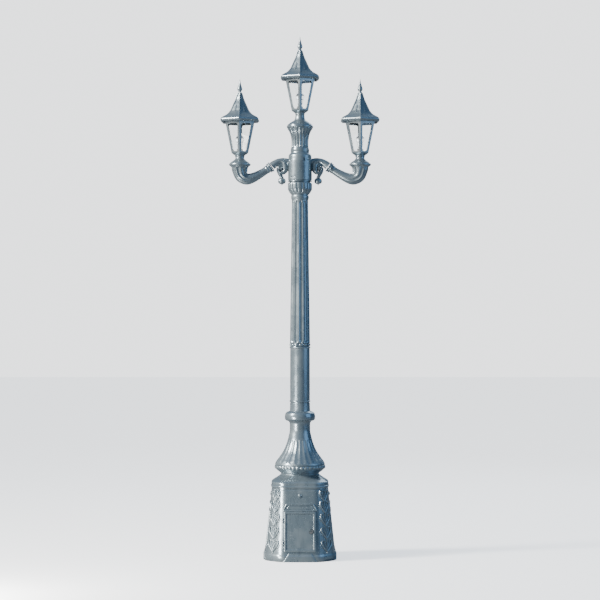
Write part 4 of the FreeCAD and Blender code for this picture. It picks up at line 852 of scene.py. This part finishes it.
# ---- Lanterns ----
HOOD_WALL = 4 * MM
HOOD_THROAT = 0.72
HOOD_TIP = 2 * MM
RIB_FADE = 12 * MM
EAVE_GAP = 0.4 * MM
RIB_HEIGHT = 5 * MM
RIB_HALF = 7 * MM
EAVE_HALF_THICKNESS = 7 * MM
VENT_LOW = 58 * MM
VENT_HIGH = 106 * MM
VENT_HALF = 9 * MM
VENT_RISE = 4.5 * MM
HOOD_BARREL_RADIUS = 5 * MM
HOOD_BARREL_LENGTH = 14 * MM
HOOD_BARREL_GAP = 0.5 * MM
HOOD_HINGE_OUT = 108 * MM
HOOD_HINGE_DROP = 14 * MM
LIP_LINE = [
    (-1.0, 0.80), (-1.0, 0.915), (-0.92, 0.93), (-0.8, 0.936), (-0.2, 0.966), (0.35, 0.995),
    (0.55, 1.0), (0.8, 0.993), (1.05, 0.973)]
HOOD_LINE = [
    (0.04, 0.973), (0.062, 0.965), (0.1, 0.905), (0.138, 0.824), (0.175, 0.733), (0.211, 0.648),
    (0.243, 0.595), (0.28, 0.548), (0.318, 0.502), (0.355, 0.463), (0.425, 0.417), (0.495, 0.371),
    (0.57, 0.324), (0.64, 0.278), (0.71, 0.232), (0.78, 0.193), (0.855, 0.16), (0.925, 0.128),
    (1, 0.097)]


def six_sided(angle, crisp=40):
    """How far out a hexagon's outline lies against its half width, with a corner to the front.
    The two nearest sides are blended by a high power, which rounds the corner a little."""
    off = np.mod(angle + TAU / 4, TAU / 6) - TAU / 12
    near, far = np.cos(off), np.cos(TAU / 6 - np.abs(off))
    return (near**crisp + far**crisp) ** (-1 / crisp)


def corner_dense_angles(per_side=24):
    """Angles round a hexagon, close together at its corners."""
    place = np.sin(np.linspace(-0.5, 0.5, per_side, endpoint=False) * math.pi)
    side = np.arctan(place * math.tan(TAU / 12))
    return np.concatenate([side + TAU / 12 + n * TAU / 6 - TAU / 4 for n in range(6)])


def hood_grid(eave, heights, halves, ribbed):
    """Rings of a six-sided hood; ribbed rings have a round rib on each corner and a vent on each side."""
    angles = corner_dense_angles()
    half = halves[:, None]
    off = np.mod(angles + TAU / 4, TAU / 6) - TAU / 12
    along = half * np.tan(np.abs(off))
    from_corner = half * math.tan(TAU / 12) - along
    rib = RIB_HEIGHT * np.sqrt(np.clip(1 - (from_corner / RIB_HALF) ** 2, 0, 1))
    up = (heights[:, None] - eave - VENT_LOW) / (VENT_HIGH - VENT_LOW)
    width = VENT_HALF * np.sqrt(np.clip(1 - np.clip(up, 0, 1), 0, 1))
    vent = VENT_RISE * (1 - 0.5 * np.clip(up, 0, 1)) * (up > 0) * (up < 1)
    vent = vent * np.sqrt(np.clip(1 - (along / (width + 1e-5)) ** 2, 0, 1))
    return half * six_sided(angles, 60) + (rib + vent) * ribbed[:, None], angles


def hood_piece(side):
    """Hood as one run: down the hollow inside from the apex, round the eave and up the ribbed roof."""
    low, high = node_box("lantern_hood_" + side)
    half = float(high[0] - low[0]) / 2
    eave = eave_height(side)
    roof = smooth_line(HOOD_LINE, 6) * (high[2] - eave, half) + (eave, 0)
    vent_rows = np.linspace(eave + VENT_LOW - 0.5 * MM, eave + VENT_HIGH, 20)
    every = np.unique(np.concatenate([roof[:, 0], vent_rows]))
    roof_half = np.interp(every, roof[:, 0], roof[:, 1])
    lip = np.array(LIP_LINE) * (EAVE_HALF_THICKNESS, half) + (eave, 0)
    inner_z = every[::-3] - HOOD_WALL
    inner_half = np.clip(roof_half[::-3] - HOOD_WALL, HOOD_TIP, HOOD_THROAT * half)
    keep = inner_z > eave - 0.5 * EAVE_HALF_THICKNESS
    heights = np.concatenate([inner_z[keep], lip[:, 0], every])
    halves = np.concatenate([inner_half[keep], lip[:, 1], roof_half])
    fade = np.clip((every - eave - EAVE_HALF_THICKNESS) / RIB_FADE, 0, 1)
    ribbed = np.concatenate([np.zeros(keep.sum() + len(lip)), fade])
    radius, angles = hood_grid(eave, heights, halves, ribbed)
    centre = node_middle("hood_finial_" + side)
    return closed_skin("hood_casting_" + side, rings_round(centre, radius, angles, heights), 32)


def eave_height(side):
    """Height of a lantern's eave plane: its hood's lip is as thick above it as below."""
    return node_height("lantern_cage_" + side)[1] + EAVE_GAP + EAVE_HALF_THICKNESS


def hood_barrels(side):
    """The hood's two hinge barrels and the webs that hang them under the eave."""
    way = -1 if side == "left" else 1
    low = eave_height(side) - HOOD_HINGE_DROP
    high = eave_height(side) - EAVE_HALF_THICKNESS + 1 * MM
    x = node_middle("hood_finial_" + side)[0] + way * HOOD_HINGE_OUT
    along = np.array([-1, -0.97, -0.9, 0.9, 0.97, 1]) * HOOD_BARREL_LENGTH / 2
    radii = np.array([0.8, 0.95, 1, 1, 0.95, 0.8]) * HOOD_BARREL_RADIUS
    half = np.array([0.42, 0.5, 0.5, 0.42])[:, None] * math.sqrt(2)
    corner = ring_angles(4, TAU / 8)
    pieces = []
    for tag, sign in (("front", -1), ("rear", 1)):
        y = sign * (HOOD_BARREL_LENGTH + HOOD_BARREL_GAP)
        pieces.append(rings_along_y(f"hood_barrel_{tag}_{side}", (x, y, low), -along, radii, 32))
        rows = low + np.array([0, 0.05, 0.95, 1])[:, None] * (high - low)
        grid = np.stack([x + way * HOOD_BARREL_RADIUS / 2 + half * np.cos(corner) * HOOD_BARREL_RADIUS,
                         y + half * np.sin(corner) * HOOD_BARREL_LENGTH * 0.9,
                         np.broadcast_to(rows, (4, 4))], axis=-1)
        pieces.append(closed_skin(f"hood_web_{tag}_{side}", grid))
    return pieces


def lantern_pieces(side):
    """Smooth bowl, hood and finial of one lantern."""
    body = "hood_" + side
    for piece in [hood_piece(side)] + hood_barrels(side):
        stand_in(piece, "lantern_hood_" + side, body)
    node = "hood_finial_" + side
    stand_in(turned_casting("finial_casting_" + side, node, FINIAL_LINE, 60, 40), node, body)

    node = "lantern_base_" + side
    heights, radii = rows_between(BOWL_LINE, node, 40)
    roundness = np.clip((1 - node_share(node, heights)) / 0.6, 0, 1)[:, None]
    angles = corner_dense_angles(16)
    factor = six_sided(angles)[None, :] * (1 - roundness) + roundness
    bowl = rings_round(node_middle(node), radii[:, None] * factor, angles, heights)
    stand_in(closed_skin("bowl_casting_" + side, bowl), node, "post")


def head_pieces():
    arm_pieces()
    for side in SIDES:
        lantern_pieces(side)


# ---- Pedestal ----
FACE_STATIONS = np.array([  # height, half width, half of its flat
    (0, 0.2375, 0.137), (0.003, 0.2395, 0.137), (0.036, 0.2395, 0.137), (0.041, 0.2375, 0.137),
    (0.048, 0.234, 0.1366), (0.337, 0.203, 0.13), (0.47, 0.1915, 0.1255), (0.475, 0.187, 0.1245),
    (0.486, 0.187, 0.124)])
CORNER_ROUND = 88 * MM
SOFTENING = 0.16
WALL = 5 * MM
DOOR_HALF = 93 * MM
DOOR_LOW = 81.8 * MM
DOOR_HIGH = 318.4 * MM
EDGE_STEPS = 4
DOOR_STEPS = 24
ARC_STEPS = 10
CHAMFER_STEPS = 12


def face_at(height):
    """Half the pedestal's width at a height, and half the width of a face's flat."""
    return [np.interp(height, FACE_STATIONS[:, 0], FACE_STATIONS[:, n]) for n in (1, 2)]


def nearest(stations, values):
    return [int(np.abs(stations - value).argmin()) for value in values]


def octagon_rings(half, flat, corner):
    """Plan rings of a chamfered square with arcs at its corners, from the front face on: one ring for
    each half width."""
    half, flat, corner = (np.asarray(value, dtype=float).reshape(-1, 1) for value in (half, flat, corner))
    straight = flat - corner * math.tan(TAU / 16)
    edge = np.linspace(0, 1, EDGE_STEPS, endpoint=False)
    inset = np.minimum(DOOR_HALF, 0.95 * straight)
    door = np.linspace(-1, 1, DOOR_STEPS, endpoint=False)
    edge = edge * (straight - inset)
    along = np.concatenate([edge - straight, door * inset, inset + edge], axis=1)
    arcs = np.linspace(0, TAU / 8, ARC_STEPS, endpoint=False)
    first = -TAU / 4 + arcs
    second = first + TAU / 8

    def corner_points(turn, second_corner):
        """Points of the arc before the chamfer or, where second_corner is true, of the one after it."""
        x, y = (half - corner, -straight) if second_corner else (straight, corner - half)
        return np.stack([x + corner * np.cos(turn), y + corner * np.sin(turn)], axis=-1)

    near, far = corner_points(first, False), corner_points(second, True)
    start, end = (corner_points(np.array([-TAU / 8]), place) for place in (False, True))
    run = start + (end - start) * np.linspace(0, 1, CHAMFER_STEPS, endpoint=False)[None, :, None]
    face = np.stack([along, np.broadcast_to(-half, along.shape)], axis=-1)
    ring = np.concatenate([face, near, run, far], axis=1)
    return np.concatenate([ring, ring[..., ::-1] * (-1, 1), -ring, ring[..., ::-1] * (1, -1)], axis=1)


def soften(points, half):
    """Draw plan points in towards a circle of radius half, which crowns the faces and eases the corners."""
    reach = np.linalg.norm(points, axis=-1, keepdims=True)
    return points * (1 + SOFTENING * (half / reach - 1))


def walled_skin(name, outer, inner, hole, wrap=True, sharp=38.0):
    """Two grids as one closed wall with a square hole, given as its first and last row and column. The
    columns run round where wrap is true; otherwise the wall has two side rims as well."""
    rows, columns = outer.shape[:2]
    number = np.arange(rows * columns).reshape(rows, columns)
    quads = grid_quads(rows, columns, wrap_columns=wrap).reshape(rows - 1, -1, 4)
    low, high, left, right = hole
    keep = np.ones(quads.shape[:2], dtype=bool)
    keep[low:high, left:right] = False
    wall = quads[keep]
    across, along = slice(left, right + 1), slice(low, high + 1)
    round_it = np.append(np.arange(columns), 0) if wrap else np.arange(columns)
    rims = [number[0, round_it][::-1], number[-1, round_it]]
    if not wrap:
        rims += [number[:, 0], number[::-1, -1]]
    rims += [number[low, across], number[high, across][::-1]]
    rims += [number[along, left][::-1], number[along, right]]
    blocks = [wall, wall[:, ::-1] + number.size]
    for rim in rims:
        blocks.append(np.stack([rim[:-1], rim[1:], rim[1:] + number.size, rim[:-1] + number.size], axis=-1))
    return add_mesh(name, np.concatenate([outer.reshape(-1, 3), inner.reshape(-1, 3)]), blocks, sharp)


def pedestal_body():
    """Tapered body with softly rounded corners, a foot band, a doorway in front and an open top."""
    spread = [np.linspace(0.05, DOOR_LOW, 5), np.linspace(DOOR_LOW, DOOR_HIGH, 36),
              np.linspace(DOOR_HIGH, 0.474, 22)]
    heights = np.unique(np.concatenate([FACE_STATIONS[:, 0], *spread]).round(7))
    half, flat = face_at(heights)
    up = np.broadcast_to(heights[:, None, None], (len(heights), 1, 1))

    def wall(inset):
        ring = octagon_rings(half - inset, flat - inset / 2, np.full(len(heights), CORNER_ROUND - inset))
        ring = soften(ring, (half - inset)[:, None, None])
        return np.concatenate([ring, np.broadcast_to(up, ring.shape[:2] + (1,))], axis=-1)

    hole = (*nearest(heights, (DOOR_LOW, DOOR_HIGH)), EDGE_STEPS, EDGE_STEPS + DOOR_STEPS)
    return walled_skin("pedestal_casting", wall(0), wall(WALL), hole)


def on_side(side, across, height, out):
    """Points on a side of the pedestal, 0 the front and each next one an eighth of a turn on: across it,
    up and out of it. Beyond a side's flat the surface falls away along the rounded corner, and all of it
    is softened. A chamfer's plane runs through the ends of two faces."""
    half, flat = face_at(height)
    middle, width = half, flat
    if side % 2 == 1:
        middle, width = (half + flat) / math.sqrt(2), (half - flat) / math.sqrt(2)
    over = np.clip(np.abs(across) - width + CORNER_ROUND * math.tan(TAU / 16), 0, CORNER_ROUND * 0.98)
    reach = middle - (CORNER_ROUND - np.sqrt(CORNER_ROUND**2 - over**2))
    plan = np.stack(np.broadcast_arrays(across, reach), axis=-1)
    across, reach = np.moveaxis(soften(plan, half[..., None]), -1, 0)
    reach = reach + out
    cos, sin = math.cos(side * TAU / 8), math.sin(side * TAU / 8)
    place = (across * cos + reach * sin, across * sin - reach * cos, height)
    return np.stack(np.broadcast_arrays(*place), axis=-1)


def moulding_grid(side, path, half_width, rise, closed=False, steps=9):
    """Half-round moulding along a path of (across, height) on a side; its back lies inside the wall."""
    path = np.asarray(path, dtype=float)
    if closed:
        tangent = np.roll(path, -1, axis=0) - np.roll(path, 1, axis=0)
    else:
        tangent = np.gradient(path, axis=0)
    tangent /= np.linalg.norm(tangent, axis=1)[:, None]
    normal = np.stack([-tangent[:, 1], tangent[:, 0]], axis=-1)
    turn = np.concatenate([np.linspace(0, TAU / 2, steps), [TAU * 0.625, TAU * 0.875]])
    half_width = np.broadcast_to(half_width, len(path))[:, None]
    rise = np.broadcast_to(rise, len(path))[:, None]
    offset = half_width * np.cos(turn)
    out = np.where(np.arange(len(turn)) < steps, rise * np.sin(turn), -2 * MM)
    flat = path[:, None, :] + offset[..., None] * normal[:, None, :]
    return on_side(side, flat[..., 0], flat[..., 1], out)


def rounded_run(corners, cut, count):
    """Closed line through corners that are rounded by parabolas, divided into count even steps."""
    corners = np.asarray(corners, dtype=float)
    ahead = np.roll(corners, -1, axis=0) - corners
    back = np.roll(corners, 1, axis=0) - corners
    start = corners + cut * back / np.linalg.norm(back, axis=1)[:, None]
    end = corners + cut * ahead / np.linalg.norm(ahead, axis=1)[:, None]
    t = np.linspace(0, 1, 9)[:, None, None]
    bends = (1 - t) ** 2 * start + 2 * t * (1 - t) * corners + t**2 * end
    line = bends.transpose(1, 0, 2).reshape(-1, 2)
    return even_steps(np.concatenate([line, line[:1]]), count, endpoint=False)


PEDIMENT_CORNERS = [(-0.115, 0.338), (0.115, 0.338), (0.09, 0.38), (-0.09, 0.38)]
INNER_PEDIMENT = [(-0.09, 0.35), (0.09, 0.35), (0.074, 0.368), (-0.074, 0.368)]
PANEL_CORNERS = [(-0.099, 0.076), (0.099, 0.076), (0.099, 0.325), (-0.099, 0.325)]
PEDIMENT_RIB = (5 * MM, 5.5 * MM)
INNER_RIB = (2 * MM, 2.5 * MM)
PANEL_RIB = (8 * MM, 5 * MM)
BOSS_HEIGHT = 436 * MM
BOSS_LINE = [
    (1.0, -2), (1.02, 1.5), (0.9, 3.5), (0.78, 2.6), (0.66, 5.0), (0.45, 7.4), (0.2, 8.0), (0.06, 8.1)]
BOSS_RADIUS = 13 * MM
APRON_LINE = [
    (0.0005, 0.118), (0.012, 0.108), (0.03, 0.094), (0.046, 0.085), (0.055, 0.078), (0.058, 0.066)]


def face_castings():
    """On each face a pediment, a rosette and an apron, and on those without a door a panel's border too."""
    faces = (0, 2, 4, 6)
    pediment = rounded_run(PEDIMENT_CORNERS, 6 * MM, 130)
    ribs = [moulding_grid(side, pediment, *PEDIMENT_RIB, closed=True) for side in faces]
    ribs.append(moulding_grid(0, rounded_run(INNER_PEDIMENT, 3 * MM, 110), *INNER_RIB, closed=True))
    panel = rounded_run(PANEL_CORNERS, 12 * MM, 160)
    borders = [moulding_grid(side, panel, *PANEL_RIB, closed=True) for side in faces[1:]]
    angles = ring_angles(48)
    line = np.array(BOSS_LINE)
    petals = 1 + 0.05 * np.cos(8 * angles)
    radius = line[:, :1] * BOSS_RADIUS * np.where(line[:, :1] > 0.6, petals, 1)
    bosses = [on_side(side, radius * np.cos(angles), BOSS_HEIGHT + radius * np.sin(angles),
                      np.broadcast_to(line[:, 1:] * MM, radius.shape)) for side in faces]
    foot = smooth_line(APRON_LINE, 6)
    turn = np.concatenate([np.linspace(0, TAU / 2, 33), [TAU * 0.6, TAU * 0.9]])
    across = foot[:, 1:] * np.sign(np.cos(turn)) * np.abs(np.cos(turn)) ** 0.35
    proud = np.where(turn <= TAU / 2, 7 * MM * np.abs(np.sin(turn)) ** 0.5, -4 * MM)
    heights = np.broadcast_to(foot[:, :1], across.shape)
    aprons = [on_side(side, across, heights, np.broadcast_to(proud, across.shape)) for side in faces]
    return [many_skins("pediment_mouldings", ribs, closed=True),
            many_skins("blind_panel_borders", borders, closed=True),
            many_skins("face_rosettes", bosses), many_skins("foot_aprons", aprons)]


LEAF_TIERS = (0.066, 0.152, 0.238, 0.322, 0.398)
OUTER_LEAF = [
    (0, 0, 8), (9, 9, 9), (25, 26, 9), (41, 45, 8), (49, 64, 7), (44, 80, 6), (32, 84, 5.5),
    (24, 75, 5), (27, 65, 4.5), (34, 64, 4)]
INNER_LEAF = [(2, 18, 5), (9, 34, 7), (19, 54, 7), (23, 74, 5.5), (18, 92, 3.5), (11, 102, 1.5)]
SIDE_LEAF = [(20, 22, 3), (36, 26, 5.5), (50, 34, 5), (58, 46, 3), (60, 54, 1.2)]
CHAMFER_TAPER = ([0.048, 0.48], [1, 46 / 69])
STEM_TAPER = ([0.052, 0.4, 0.468], [7 * MM, 4.5 * MM, 1.2 * MM])
STEM_RISE = 6 * MM
STEM_SWAY = 2.5 * MM


def chamfer_leaves():
    """Climbing scrolled leaves on the four chamfers: a stem with paired leaves whose tips curl in."""
    grids = []
    for side in (1, 3, 5, 7):
        stem_up = np.linspace(0.052, 0.468, 90)
        sway = STEM_SWAY * np.sin(TAU * (stem_up - 0.06) / 0.172)
        stem = np.stack([sway, stem_up], axis=-1)
        grids.append(moulding_grid(side, stem, np.interp(stem_up, *STEM_TAPER), STEM_RISE))
        for foot in LEAF_TIERS:
            shrink = 1.0 - 0.7 * max(0.0, foot - 0.34)
            for leaf, rise in ((OUTER_LEAF, 8 * MM), (INNER_LEAF, 6 * MM), (SIDE_LEAF, 5 * MM)):
                line = smooth_line(np.array(leaf) * MM, 6)
                height = foot + line[:, 1] * shrink * 0.9
                half = np.interp(height, *CHAMFER_TAPER)
                taper = line[:, 2] * shrink
                lift = rise * np.clip(taper / (7 * MM), 0.25, 1.0)
                for way in (-1, 1):
                    path = np.stack([way * line[:, 0] * half * shrink, height], axis=-1)
                    grids.append(moulding_grid(side, path, taper * 0.8, lift))
    return [many_skins("chamfer_leaves", grids)]


CAP_STATIONS = [
    (0.0, 0.985, 0.0), (0.02, 1.0, 0.0), (0.07, 1.01, 0.0), (0.12, 1.0, 0.0), (0.15, 0.975, 0.02),
    (0.17, 0.955, 0.03), (0.17, 0.955, 0.03), (0.24, 0.955, 0.04), (0.36, 0.955, 0.07),
    (0.42, 0.93, 0.12), (0.47, 0.87, 0.2), (0.53, 0.77, 0.32), (0.6, 0.655, 0.46), (0.68, 0.49, 0.62),
    (0.76, 0.335, 0.76), (0.84, 0.2, 0.88), (0.9, 0.1, 0.95), (0.96, 0.03, 0.99), (1.0, 0.0, 1.0)]
WAIST_RADIUS = 127 * MM
CAP_LEDGE = 194.5 * MM
CAP_FLAT = 127 * MM


def pedestal_cap_piece():
    """Cap of the pedestal: an eight-sided lip and shoulder that rise in a round ogee to the bell."""
    line = smooth_line(CAP_STATIONS, 6)
    low, high = node_height("pedestal_cap")
    half = WAIST_RADIUS + line[:, 1] * (CAP_LEDGE - WAIST_RADIUS)
    up = low + line[:, 0] * (high - low)
    rings = soften(octagon_rings(half, CAP_FLAT * half / CAP_LEDGE, 0.4 * half), half[:, None, None])
    reach = np.linalg.norm(rings, axis=-1, keepdims=True)
    rings = rings * (1 + line[:, 2][:, None, None] * (half[:, None, None] / reach - 1))
    heights = np.broadcast_to(up[:, None, None], rings.shape[:2] + (1,))
    return closed_skin("pedestal_cap_casting", np.concatenate([rings, heights], axis=-1))


HINGE_X = -113 * MM
HINGE_OUT = 5.4 * MM
HINGE_FEET = (62 * MM, 209.6 * MM)
HINGE_BARREL = 17 * MM
HINGE_RADIUS = 5 * MM
HINGE_GAP = 0.4 * MM
FACE_FOOT = 48 * MM
FACE_FOOT_HALF = 234 * MM
FACE_LEAN = math.atan((0.234 - 0.203) / (0.337 - 0.048))


def on_door_plane(across, up, out):
    """A point across, up and out of the leaning plane that the door's hinges and lock lie on."""
    place = (across, -FACE_FOOT_HALF + up * math.sin(FACE_LEAN) - out * math.cos(FACE_LEAN),
             FACE_FOOT + up * math.cos(FACE_LEAN) + out * math.sin(FACE_LEAN))
    return np.stack(np.broadcast_arrays(*place), axis=-1)


def rod_grid(start, end, radius, columns):
    """Round bar between two points, with rounded rims."""
    along = end - start
    length = np.linalg.norm(along)
    along = along / length
    side = np.cross(along, (0.0, 1.0, 0.3))
    side /= np.linalg.norm(side)
    other = np.cross(along, side)
    places = np.array([0, 0.02, 0.06, 0.94, 0.98, 1.0])[:, None, None] * length
    radii = np.array([0.84, 0.96, 1, 1, 0.96, 0.84])[:, None, None] * radius
    angles = ring_angles(columns)[None, :, None]
    return start + along * places + radii * (np.cos(angles) * side + np.sin(angles) * other)


def hinge_barrels(name, lift, web_across, web_out, web_cut, web_radius):
    """A barrel at each hinge, lift above its foot, and the square web that carries it."""
    grids = []
    for foot in HINGE_FEET:
        low, high = foot + lift, foot + lift + HINGE_BARREL
        for across, out, cut, radius, columns in ((HINGE_X, HINGE_OUT, 0, HINGE_RADIUS, 28),
                                                  (web_across, web_out, web_cut, web_radius, 4)):
            ends = (on_door_plane(across, up, out) for up in (low + cut, high - cut))
            grids.append(rod_grid(*ends, radius, columns))
    return many_skins(name, grids)


DOOR_EDGE = 107 * MM
DOOR_FOOT = 20 * MM
DOOR_TOP = 286 * MM
DOOR_CORNER = 10 * MM
DOOR_BACK = 0.4 * MM
LOCK_ACROSS = 75.5 * MM
LOCK_UP = 153 * MM
LOCK_HOLE = 9.2 * MM
BORDER_LINE = [
    (0, 8.4), (0.8, 9.8), (2.4, 10.4), (13, 10.4), (14.8, 9.8), (16, 7.4), (17.5, 6.6), (22, 6.4)]
BORDER_INSETS = (0, 0.8, 2.4, 7.5, 13, 14.8, 16, 17.5, 22)
ROSE_LINE = [(9.6, 3.0), (18.0, 3.0), (18.0, 5.4), (17.2, 6.2), (10.2, 6.4), (9.6, 6.2)]


def door_stations(low, high, hole):
    """Stations over the door: close together on the raised border, wider on the field, and on the hole."""
    insets = np.array(BORDER_INSETS) * MM
    field = np.linspace(low + insets[-1], high - insets[-1], 26)
    return np.unique(np.concatenate([low + insets, high - insets, field, hole]).round(7))


def door_skin():
    """Door that follows the crowned face: a raised border round a plain field, with a hole for the lock."""
    hole_across, hole_up = ((middle - LOCK_HOLE, middle + LOCK_HOLE) for middle in (LOCK_ACROSS, LOCK_UP))
    across = door_stations(-DOOR_EDGE, DOOR_EDGE, hole_across)
    up = door_stations(DOOR_FOOT, DOOR_TOP, hole_up)
    x, v = (grid.copy() for grid in np.meshgrid(across, up))
    inset = np.minimum(DOOR_EDGE - np.abs(x), np.minimum(v - DOOR_FOOT, DOOR_TOP - v))
    line = np.array(BORDER_LINE) * MM
    front = np.interp(inset, line[:, 0], line[:, 1])
    centre_x = np.clip(x, -DOOR_EDGE + DOOR_CORNER, DOOR_EDGE - DOOR_CORNER)
    centre_v = np.clip(v, DOOR_FOOT + DOOR_CORNER, DOOR_TOP - DOOR_CORNER)
    off = np.maximum(np.hypot(x - centre_x, v - centre_v), 1e-9)
    pull = np.minimum(1, DOOR_CORNER / off)
    x, v = centre_x + (x - centre_x) * pull, centre_v + (v - centre_v) * pull
    height = FACE_FOOT + v * math.cos(FACE_LEAN)
    hole = (*nearest(up, hole_up), *nearest(across, hole_across))
    return walled_skin("door_casting", on_side(0, x, height, front), on_side(0, x, height, DOOR_BACK), hole,
                       wrap=False)


def lock_rose():
    """Round plate on the door under the lock's head."""
    angles = ring_angles(48)
    line = np.array(ROSE_LINE) * MM
    grid = on_door_plane(LOCK_ACROSS + line[:, :1] * np.cos(angles),
                         LOCK_UP + line[:, :1] * np.sin(angles), line[:, 1:])
    return many_skins("lock_rose", [grid.transpose(1, 0, 2)], closed=True)


def pedestal_pieces():
    """Body with its doorway, the castings on its faces and chamfers, the hinges, the door and the cap."""
    castings = [pedestal_body()] + face_castings() + chamfer_leaves()
    castings.append(hinge_barrels("door_hinge_lugs", 0, HINGE_X - 0.5 * HINGE_RADIUS, -2 * MM,
                                  0.04 * HINGE_BARREL, 1.3 * HINGE_RADIUS))
    for piece in castings:
        stand_in(piece, "pedestal", "post")
    door = [door_skin()]
    door.append(hinge_barrels("door_barrels", HINGE_BARREL + HINGE_GAP, HINGE_X + 0.7 * HINGE_RADIUS,
                              1.5 * MM, 0.5 * MM, HINGE_RADIUS))
    for piece in door:
        stand_in(piece, "door", "door")
    dress(lock_rose(), "door")
    stand_in(pedestal_cap_piece(), "pedestal_cap", "post")


def main():
    set_stage()
    dress_nodes()
    post_castings()
    head_pieces()
    pedestal_pieces()


main()
